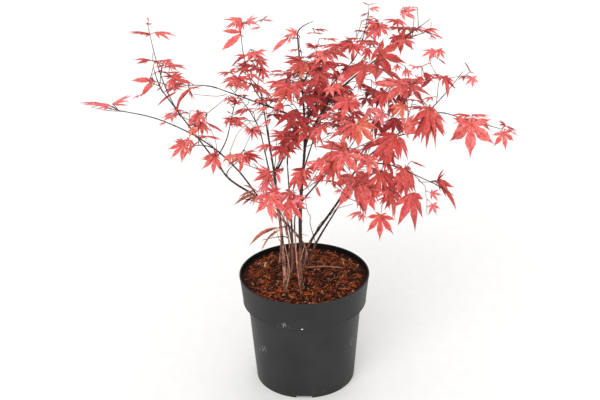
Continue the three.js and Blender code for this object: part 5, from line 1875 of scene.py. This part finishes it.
        (295.6, 33.2, 284, 28.6, 34, 0, 0, CORAL), (294.5, 34, 281, 37, 66, 0, 0, RED, 0.4),
        (288.5, 88, 277.5, 104.5, 26, 16, 8, SCARLET), (290, 87.5, 266, 98, 40, 14, 4, ORANGE, 0.7),
        (289.5, 86.5, 265, 86, 56, 12, 2, SCARLET), (296, 84, 300.2, 99, 22, 12, 6, CORAL),
        (297.5, 83.5, 311, 85.8, 55, 10, 0, RED), (292, 80.5, 282.3, 80.8, 80, 6, 0, CRIMSON, 0.5),
        (325.5, 96.5, 311.8, 98.5, 66, 0, 0, CRIMSON, 0.8, 20, 0.15),
        (304.5, 121, 316, 119.5, 50, 8, 4, SCARLET, 0.8), (304.5, 122, 296, 128, 50, 8, 4, RED, 0.7),
        (303, 113.5, 284.5, 112.5, 72, 8, 2, SCARLET, 0.45), (297, 113, 291, 123, 40, 8, 4, RED, 0.4),
        (321.5, 125, 334.5, 123, 68, 8, 2, CORAL, 0.6), (321.5, 125, 309, 123.5, 68, 8, 2, SCARLET, 0.6),
        (342, 112, 325.5, 118.5, 60, 8, 2, SCARLET, 0.4), (283, 104, 270.5, 111.5, 50, 8, 4, SCARLET, 0.6),
        (268, 107.5, 252.5, 110, 68, 4, 0, CORAL, 0.45),
    ),
    "top_right": (
        (368.6, 5, 361.5, 1.2, 80, 0, 0, CRIMSON, 0.4), (369.5, 4.5, 376.5, 3.2, 78, 0, 0, RED, 0.5),
        (370, 9, 382.5, 6.8, 70, 0, 0, PINK, 0.6), (368, 13, 358.5, 16, 72, 0, 0, CRIMSON, 0.3, 20, 0.3),
        (370.5, 16.5, 376.5, 19.5, 50, 0, 0, PINK), (380, 25, 379, 41, 18, 10, 8, CORAL),
        (378.5, 25.5, 363, 41, 50, 8, 4, CORAL, 0.6), (378.5, 24, 361, 23.4, 60, 8, 0, SCARLET, 0.7),
        (381, 25, 391.5, 31, 40, 8, 2, SCARLET), (378.9, 53.9, 408.7, 61.4, 8, 14, 4, RED),
        (379, 54.5, 384.5, 70, 30, 12, 8, SCARLET, 0.5), (341, 70, 360, 64.5, 76, 4, 0, CRIMSON, 0.5),
        (357, 65, 370, 57.5, 72, 4, 0, RED, 0.4), (349, 66, 333, 61.5, 74, 4, 0, RED, 0.5),
        (353, 49.5, 352.6, 62, 20, 4, 4, CRIMSON, 0.15), (337, 79, 349, 74, 60, 8, 2, PINK, 0.5),
        (338, 71, 330, 84, 40, 4, 4, CRIMSON, 0.5), (369, 24, 381.5, 18.5, 60, 4, 2, PINK, 0.4),
    ),
    "far_top_right": (
        (402, 13, 419.5, 8.2, 55, 0, 0, PINK), (402.5, 10, 403.6, 4.6, 80, 0, 0, CRIMSON, 0.4),
        (398.5, 20.5, 381.2, 19.2, 72, 4, 0, RED, 0.5), (399, 20.5, 409.5, 26.5, 62, 4, 0, CORAL),
        (398.5, 21, 391, 27.5, 40, 4, 0, CORAL), (397, 27, 416.5, 28, 84, 2, 0, SCARLET, 0.6),
        (396.5, 27, 387.5, 29.8, 78, 2, 0, RED, 0.7), (399.6, 35.8, 415.2, 51.2, 26, 8, 6, RED),
        (399.5, 36.5, 403, 30.5, 40, 6, 0, SCARLET), (395.5, 36.5, 389, 45.6, 26, 4, 2, CRIMSON),
        (426.5, 29.8, 441.5, 29.4, 66, 0, 0, SCARLET, 0.7), (427, 29.5, 420.5, 28.4, 66, 0, 0, RED),
        (430.6, 28.5, 431.4, 20.5, 84, 0, 0, PINK, 0.35), (431, 33.3, 445.5, 38.2, 80, 0, 0, PINK, 0.35),
        (432, 35.5, 429.6, 42, 40, 0, 2, PINK, 0.7), (433, 36, 437, 40, 70, 0, 0, CRIMSON, 0.5),
    ),
}


@dataclass(frozen=True)
class ShownTwig:
    """A bare twig that crosses the sky, by the pixels along it, from a limb. Thickness in millimetres."""

    limb: str
    pixels: tuple[Pair, ...]
    thick: float = 1.1
    deeper: float = 0.0
    skin: TwigSkin | None = None


SHOWN_TWIGS = tuple(ShownTwig(*row) for row in (
    ("stem_right_inner", ((306.5, 239.4), (310.2, 224), (310.5, 216.7), (307.4, 211), (305.3, 199)), 1.5),
    ("stem_right_outer", ((309.7, 234), (320, 224), (330.5, 214.6), (342, 203)), 1.4, -20),
    ("stem_right_outer", ((336.6, 209.7), (344, 206.4), (353, 204)), 1.1, -10),
    ("bough_long_left", ((239.6, 94.4), (228, 95.8), (216.7, 96.3), (193.7, 94.4)), 1.2),
    ("trunk_left", ((274.5, 170), (271, 150), (268, 128), (266, 106)), 1.5),
    ("trunk_left", ((275, 170), (276, 152), (276.5, 138)), 1.4, 6),
    ("trunk_left", ((276, 169), (284, 150), (293, 120)), 1.8, 12),
    ("trunk_left", ((277, 169), (291, 148), (303, 129)), 1.4, 20),
    ("trunk_main", ((305, 192), (314, 183), (324, 176)), 1.6, -14),
    ("trunk_main", ((305.8, 190.6), (313, 179), (321, 166)), 1.4, -8),
    ("trunk_main", ((309.5, 118.6), (322, 99.5), (338.8, 76.5), (360, 62.5), (369.4, 47), (376, 39.5)),
     2.1, 30),
    ("trunk_main", ((300, 235.2), (308, 235.6)), 0.9),
    ("bough_right_steep", ((366.5, 30), (368, 25.5), (368.6, 14), (368.8, 5)), 1.1, 6),
    ("stem_right_outer", ((429, 84), (440, 80), (451, 77.8), (466, 75.3)), 1.1, 10),
    ("bough_right_up", ((408.9, 39.5), (416, 35.6), (424, 33)), 1.2),
    ("stem_right_outer", ((428, 70), (430.6, 63.6), (433, 57.4)), 1.1, 8),
    ("stem_right_outer", ((357, 168), (366, 166.5), (375, 165.5)), 1.1, -6),
    ("stem_right_outer", ((357, 168), (365, 170), (371, 170.5)), 1.1, -8),
    ("stem_right_outer", ((357, 168), (358, 172), (361, 175.5)), 1.1, -8),
    ("bough_right_low", ((413, 175.5), (420, 181), (425.5, 187), (425.3, 193), (427, 199)), 1.2),
    ("bough_right_low", ((419, 203), (427, 213), (430, 213), (432, 206)), 1.0),
    ("bough_right_low", ((413, 183.5), (421, 182), (436.5, 181.5)), 1.1),
    ("stem_red", ((243, 147), (255, 126), (267, 107)), 1.1),
    ("stem_leaning_left", ((228, 146), (238, 133), (250, 122)), 1.1),
    ("stem_leaning_left", ((222, 158), (214, 148), (205, 139)), 1.1, -6),
    ("stem_leaning_left", ((223, 155), (216, 143), (208.5, 124)), 1.1, 8),
    ("bough_long_left", ((124, 114.4), (108, 110.4), (91, 107)), 1.2),
    ("trunk_left", ((285.6, 290.7), (289.4, 271), (285, 245)), 1.9, 0, TwigSkin.PALE),
    ("stem_back_left", ((280.2, 262.5), (284, 249.5), (283.4, 240.8)), 1.6, 0, TwigSkin.PALE),
    ("stem_back_left", ((282, 243), (279, 239), (277, 232)), 1.3, 0, TwigSkin.PALE),
    ("stem_front_pink", ((303.5, 295), (297.5, 271), (294.8, 244)), 2.0, 0, TwigSkin.PALE),
    ("trunk_main", ((302.4, 282), (300.2, 262.5), (305.6, 242)), 1.7, 0, TwigSkin.PALE),
))


@dataclass(frozen=True)
class SkyGap:
    """An oval of open sky in the photograph, by its middle and half its size in pixels."""

    middle: Pair
    half: Pair

    def holds(self, pixels: Array) -> bool:
        """Returns whether any of the pixels lies in the gap."""
        offset = (pixels - np.array(self.middle)) / np.array(self.half)
        return bool((np.hypot(offset[:, 0], offset[:, 1]) < 1).any())


SKY_GAPS = tuple(SkyGap(row[:2], row[2:]) for row in (
    (290, 103, 7, 8), (259, 109, 9, 9), (243, 138, 15, 12), (326, 222, 16, 26), (225, 222, 34, 26),
    (190, 195, 60, 28), (120, 150, 50, 30), (105, 78, 24, 14), (200, 34, 22, 20), (340, 12, 20, 20),
    (285, 12, 18, 8), (455, 40, 10, 24), (470, 100, 16, 8), (485, 185, 28, 22), (450, 240, 40, 20),
    (330, 172, 7, 9), (370, 80, 4, 5), (449, 152, 13, 15), (205, 101, 16, 9), (522, 158, 20, 16),
    (492, 152, 9, 9), (290, 238, 30, 13), (258, 240, 16, 16), (213, 118, 8, 7), (160, 48, 14, 8),
    (130, 66, 12, 5), (440, 100, 6, 5), (425, 178, 6, 6), (300, 20, 12, 8), (150, 28, 30, 22),
    (278, 252, 12, 12), (390, 8, 9, 7), (440, 14, 20, 12), (268, 34, 10, 9), (275, 62, 6, 8),
    (346, 57, 5, 5), (418, 160, 9, 9), (433, 152, 4, 4), (360, 77, 8, 5), (323, 143, 6, 5),
    (314, 157, 5, 4), (254, 42, 8, 6), (143, 99, 8, 4), (418, 46, 6, 6), (247, 172, 7, 6), (335, 137, 5, 4),
    (447, 118, 8, 5), (522, 138, 6, 5), (314, 194, 5, 6), (456, 205, 6, 7), (199, 88, 10, 4),
    (305, 146, 4, 5), (423, 41, 6, 4), (150, 70, 5, 4), (221, 62, 6, 3), (286, 184, 5, 5), (236, 167, 5, 4),
    (180, 122, 5, 4), (208, 78, 5, 4), (208, 91, 7, 4), (459, 91, 5, 5), (463, 70, 4, 3), (104, 98, 6, 4),
    (180, 131, 6, 3), (463, 200, 5, 6), (510, 110, 12, 8), (222, 134, 9, 8), (137, 51, 10, 5),
    (431, 66, 3, 12),
))


# The whole crown
@dataclass(frozen=True)
class StalkSkin:
    """The plain skin of stalks or ribs, in small patches of two colours."""

    name: str
    colour: int
    pale: int

    def material(self) -> Material:
        """Builds the material."""
        shader = Shader(self.name)
        patches = shader.step(shader.noise(120, 2), 0.4, 0.6)
        base = shader.blend(patches, linear(self.colour), linear(self.pale))
        return shader.finish(Base_Color=base, Roughness=0.5)


@dataclass
class Crown:
    """All twigs and leaves, gathered by kind and colour into a few pieces."""

    skeleton: Skeleton
    camera: StudioCamera
    leaves: list[Leaf] = field(default_factory=list)
    twigs: list[Twig] = field(default_factory=list)
    wood: Array = field(default_factory=lambda: np.empty((0, 3)))
    wood_masses: list[str] = field(default_factory=list)
    stalk_radius: Pair = (0.55 * MM, 0.45 * MM)
    stalk_share: float = 0.42
    limb_room: float = 1.5 * MM
    shown_room: float = 0.5
    same_hub: float = 6 * MM
    own_wood: float = 0.8
    close_share: float = 0.8
    first_seed: int = 4000
    behind_hub: float = 0.2
    stalk_stretch: float = 1.25
    thin_twig: float = 1.35
    bare_end: float = 3 * MM
    knot: float = 1.18
    stalk_bow: float = 0.14
    rib_stops: tuple[float, ...] = (0.0, 0.4, 0.7, 0.86)
    rib_radii: tuple[float, ...] = (0.5, 0.34, 0.22, 0.1)
    rib_height: float = 0.004
    full_rib_lobe: float = 0.04

    def grow(self) -> None:
        """Grows every mass by the rule, then adds what the photograph shows apart."""
        limb_points = np.concatenate([curve.samples(60) for curve in self.skeleton.curves.values()])
        grown = []
        for number, (name, mass) in enumerate(MASSES.items()):
            limb = LIMBS[mass.limb]
            radius = mixed(limb.thick[0], limb.thick[1], mass.at) / 2 * MM
            growth = Growth(name, mass, self.skeleton.curves[mass.limb], radius, number)
            growth.grow()
            self.twigs += growth.twigs
            grown += growth.leaves
        self.show_twigs()
        self.add_wood("", limb_points)
        for twig in self.twigs:
            self.add_wood(twig.mass, twig.curve.samples(12))
        shown = []
        for mass, rows in SHOWN_LEAVES.items():
            line = np.concatenate([twig.curve.samples(12) for twig in self.twigs if twig.mass == mass])
            for row in rows:
                shown.append(self.shown_leaf(mass, ShownLeaf.of(row), line, shown))
        kept = [leaf for leaf in grown if self.has_room(leaf, limb_points, shown)]
        LOG.info("%d leaves by the rule, %d of them kept, %d shown apart", len(grown), len(kept), len(shown))
        self.leaves = kept + shown
        self.drop_bare_ends()

    def has_room(self, leaf: Leaf, limb_points: Array, shown: list[Leaf]) -> bool:
        """Returns whether a leaf keeps to its space, off the limbs, the sky gaps and the shown leaves."""
        points = leaf.reach_points()
        mass, rule = MASSES[leaf.mass], GrowthRule()
        stem = next(twig.curve for twig in self.twigs if twig.mass == leaf.mass)
        start, end = stem.point(0), stem.point(1)
        chord = end - start
        shares = np.clip((points - start) @ chord / (chord @ chord), 0, 1)
        apart = np.linalg.norm(points - start - shares[:, None] * chord, axis=1).max()
        shoots = rule.shoot_length[1] if mass.shoots else 0
        if apart > (rule.space_spans + shoots) * mass.span * MM:
            return False
        gaps = np.linalg.norm(points[1:, None] - limb_points[None], axis=2)
        if gaps.min() < self.limb_room:
            return False
        seen = self.camera.pixels(np.vstack([points, leaf.centre()]))
        if any(gap.holds(seen) for gap in SKY_GAPS):
            return False
        for other in shown:
            close = (leaf.lobe + other.lobe) * self.shown_room
            if np.linalg.norm(leaf.centre() - other.centre()) < close * self.close_share:
                return False
        return True

    def add_wood(self, mass: str, points: Array) -> None:
        """Notes points along a twig or limb, to which leaves can be joined."""
        self.wood = np.concatenate([self.wood, points])
        self.wood_masses += [mass] * len(points)

    def shown_leaf(self, mass: str, row: ShownLeaf, line: Array, shown: list[Leaf]) -> Leaf:
        """Places a leaf by its pixels and joins it to the wood.

        Args:
            mass: The name of its mass.
            row: The leaf's row in the table.
            line: Points along the mass's twigs.
            shown: The leaves that were placed before it.

        Returns:
            The leaf.
        """
        draws = Draws(len(shown) + self.first_seed)
        depth = self.camera.nearest(line, row.hub)[1] - row.nearer * MM
        hub = self.camera.point(row.hub, depth)
        tip = self.camera.point(row.tip, depth - row.reach * MM)
        axis, lobe = unit(tip - hub), float(np.linalg.norm(tip - hub))
        view = unit(np.array(self.camera.place) - hub)
        facing = unit(view - axis * (view @ axis))
        lying = unit(np.cross(axis, facing))
        lying = lying if lying[2] > 0 else -lying
        turn = math.radians(row.turn)
        normal = facing * math.cos(turn) + lying * math.sin(turn)
        side = np.cross(normal, axis)
        beside = [other.root for other in shown if np.linalg.norm(other.hub - hub) < self.same_hub]
        root = beside[0] if beside else self.join(mass, hub, axis, lobe * GrowthRule().width_over_lobe)
        leaf = Leaf(mass, root, hub, axis, side, normal, lobe, row.tint)
        fold = math.radians(row.fold) * math.sqrt(max(math.cos(turn), 0.05))
        leaf.give_way(draws, (row.drop * 0.5, row.drop * 1.5), (fold * 0.8, fold * 1.2))
        leaf.gather = row.gather
        return leaf

    def join(self, mass: str, hub: Array, axis: Array, span: float) -> Array:
        """Finds where a shown leaf's stalk starts, with a fine twig to it where it is far off.

        Args:
            mass: The mass's name.
            hub: The leaf's hub.
            axis: The leaf's direction.
            span: The leaf's span.

        Returns:
            The start of the stalk.
        """
        behind = hub - axis * span * self.behind_hub
        gaps = np.linalg.norm(self.wood - behind, axis=1)
        gaps[np.array(self.wood_masses) == mass] *= self.own_wood
        start = self.wood[np.argmin(gaps)]
        apart = hub - start
        stalk = span * self.stalk_share
        if np.linalg.norm(apart) <= stalk * self.stalk_stretch:
            return start
        knee = hub - unit(unit(apart) * 0.6 + axis * 0.4) * stalk
        curve = Bend.leaving(start, unit(apart + UP * 0.3 * np.linalg.norm(apart)), knee)
        self.twigs.append(Twig(mass, curve, GrowthRule().fine_radius, 8, TwigSkin.YOUNG))
        self.add_wood(mass, curve.samples(8))
        return knee

    def show_twigs(self) -> None:
        """Adds the bare twigs that cross the sky, each to a mass that its limb carries."""
        for row in SHOWN_TWIGS:
            carried = [name for name, mass in MASSES.items() if mass.limb == row.limb]
            stems = [twig.curve.samples(12) for twig in self.twigs if twig.mass in carried]
            line = np.concatenate([self.skeleton.curves[row.limb].samples(80), *stems])
            start = self.camera.nearest(line, row.pixels[0])
            count = len(row.pixels) - 1
            rest = [
                self.camera.point(pixel, start[1] + row.deeper * MM * (i + 1) / count)
                for i, pixel in enumerate(row.pixels[1:])
            ]
            owner = carried[0] if carried else "centre_left"
            curve = ThroughPoints([start, *rest])
            radius = (row.thick / 2 * MM, row.thick * 0.3 * MM)
            skin = row.skin or (TwigSkin.YOUNG if row.thick < self.thin_twig else TwigSkin.OLD)
            self.twigs.append(Twig(owner, curve, radius, 16, skin))

    def drop_bare_ends(self) -> None:
        """Leaves out the finer twigs whose leaves had no room."""
        roots = np.array([leaf.root for leaf in self.leaves])
        fine = GrowthRule().fine_radius
        self.twigs = [
            twig for twig in self.twigs
            if twig.radius != fine
            or np.linalg.norm(roots - twig.curve.point(1), axis=1).min() < self.bare_end
        ]

    def build(self) -> None:
        """Makes the pieces: twigs, young twigs, stalks, ribs and one piece for each leaf tint."""
        self.grow()
        for skin in TwigSkin:
            self.build_twigs(skin)
        self.build_stalks()
        self.build_ribs()
        shapes = {name: shape.build() for name, shape in LEAF_SHAPES.items()}
        for tint in LeafTint:
            own = [leaf for leaf in self.leaves if leaf.tint is tint]
            bank = MeshBank()
            for leaf in own:
                points, faces = shapes[leaf.shape()]
                bank.add((leaf.placed(points), faces))
            nodes = sorted({f"leaves_{leaf.mass}" for leaf in own})
            dressed(bank.build(f"leaves_{tint.name.lower()}", tint.material(), 30), nodes)

    def build_twigs(self, skin: TwigSkin) -> None:
        """Makes one piece of all the twigs of one skin."""
        name, colour, pale, slot = skin.value
        own = [twig for twig in self.twigs if twig.skin is skin]
        bank = MeshBank()
        for twig in own:
            radii = np.linspace(twig.radius[0], twig.radius[1], twig.steps + 1)
            radii[1::3] *= self.knot
            bank.add(tube(twig.curve.even_points(twig.steps), radii, 6))
        shader = Shader(f"{name}_bark")
        patches = shader.step(shader.noise(160, 3), 0.35, 0.65)
        base = shader.blend(patches, linear(colour), linear(pale))
        relief = shader.noise(1800, 3)
        finish = shader.finish(Base_Color=base, Roughness=0.6, Normal=shader.bump(relief, 0.3, 0.0004))
        masses = [] if skin is TwigSkin.PALE else sorted({f"leaves_{twig.mass}" for twig in own})
        dressed(bank.build(name, finish, 60), masses)

    def build_stalks(self) -> None:
        """Makes the leaves' stalks, each bowed from its twig to the hub."""
        bank = MeshBank()
        for leaf in self.leaves:
            length = np.linalg.norm(leaf.hub - leaf.root)
            middle = (leaf.root + leaf.hub) / 2 + UP * length * self.stalk_bow
            end = leaf.hub + leaf.axis * leaf.lobe * 0.02
            line = Bend(leaf.root, middle, end).samples(4)
            bank.add(tube(line, np.linspace(self.stalk_radius[0], self.stalk_radius[1], 5), 4))
        finish = StalkSkin("stalk_skin", 0x521E20, 0x86302C).material()
        masses = sorted({f"leaves_{leaf.mass}" for leaf in self.leaves})
        dressed(bank.build("leaf_stalks", finish, 60), masses)

    def build_ribs(self) -> None:
        """Makes the pale ribs that stand out along each lobe of the larger leaves."""
        bank = MeshBank()
        shape = LEAF_SHAPES["toothed"]
        for leaf in self.leaves:
            if leaf.shape() != "toothed":
                continue
            for turn, length in zip(shape.turns[1:-1], shape.lengths[1:-1]):
                angle = math.radians(turn)
                stops = np.array(self.rib_stops) * length
                level = np.full(len(stops), self.rib_height)
                row = np.stack([stops * math.cos(angle), stops * math.sin(angle), level], axis=1)
                radii = np.array(self.rib_radii) * MM * min(1.0, leaf.lobe / self.full_rib_lobe)
                bank.add(tube(leaf.placed(row), radii, 3))
        finish = StalkSkin("rib_skin", 0xA8482F, 0xC26040).material()
        dressed(bank.build("leaf_ribs", finish, 60), [])


def main() -> None:
    """Builds the studio and every sub-assembly in order."""
    logging.basicConfig(level=logging.INFO, format="%(name)s: %(message)s")
    camera = StudioCamera()
    camera.build()
    Studio().build()
    Pot().build()
    Mulch().build()
    skeleton = Skeleton()
    skeleton.build()
    Crown(skeleton, camera).build()


if __name__ == "__main__":
    main()
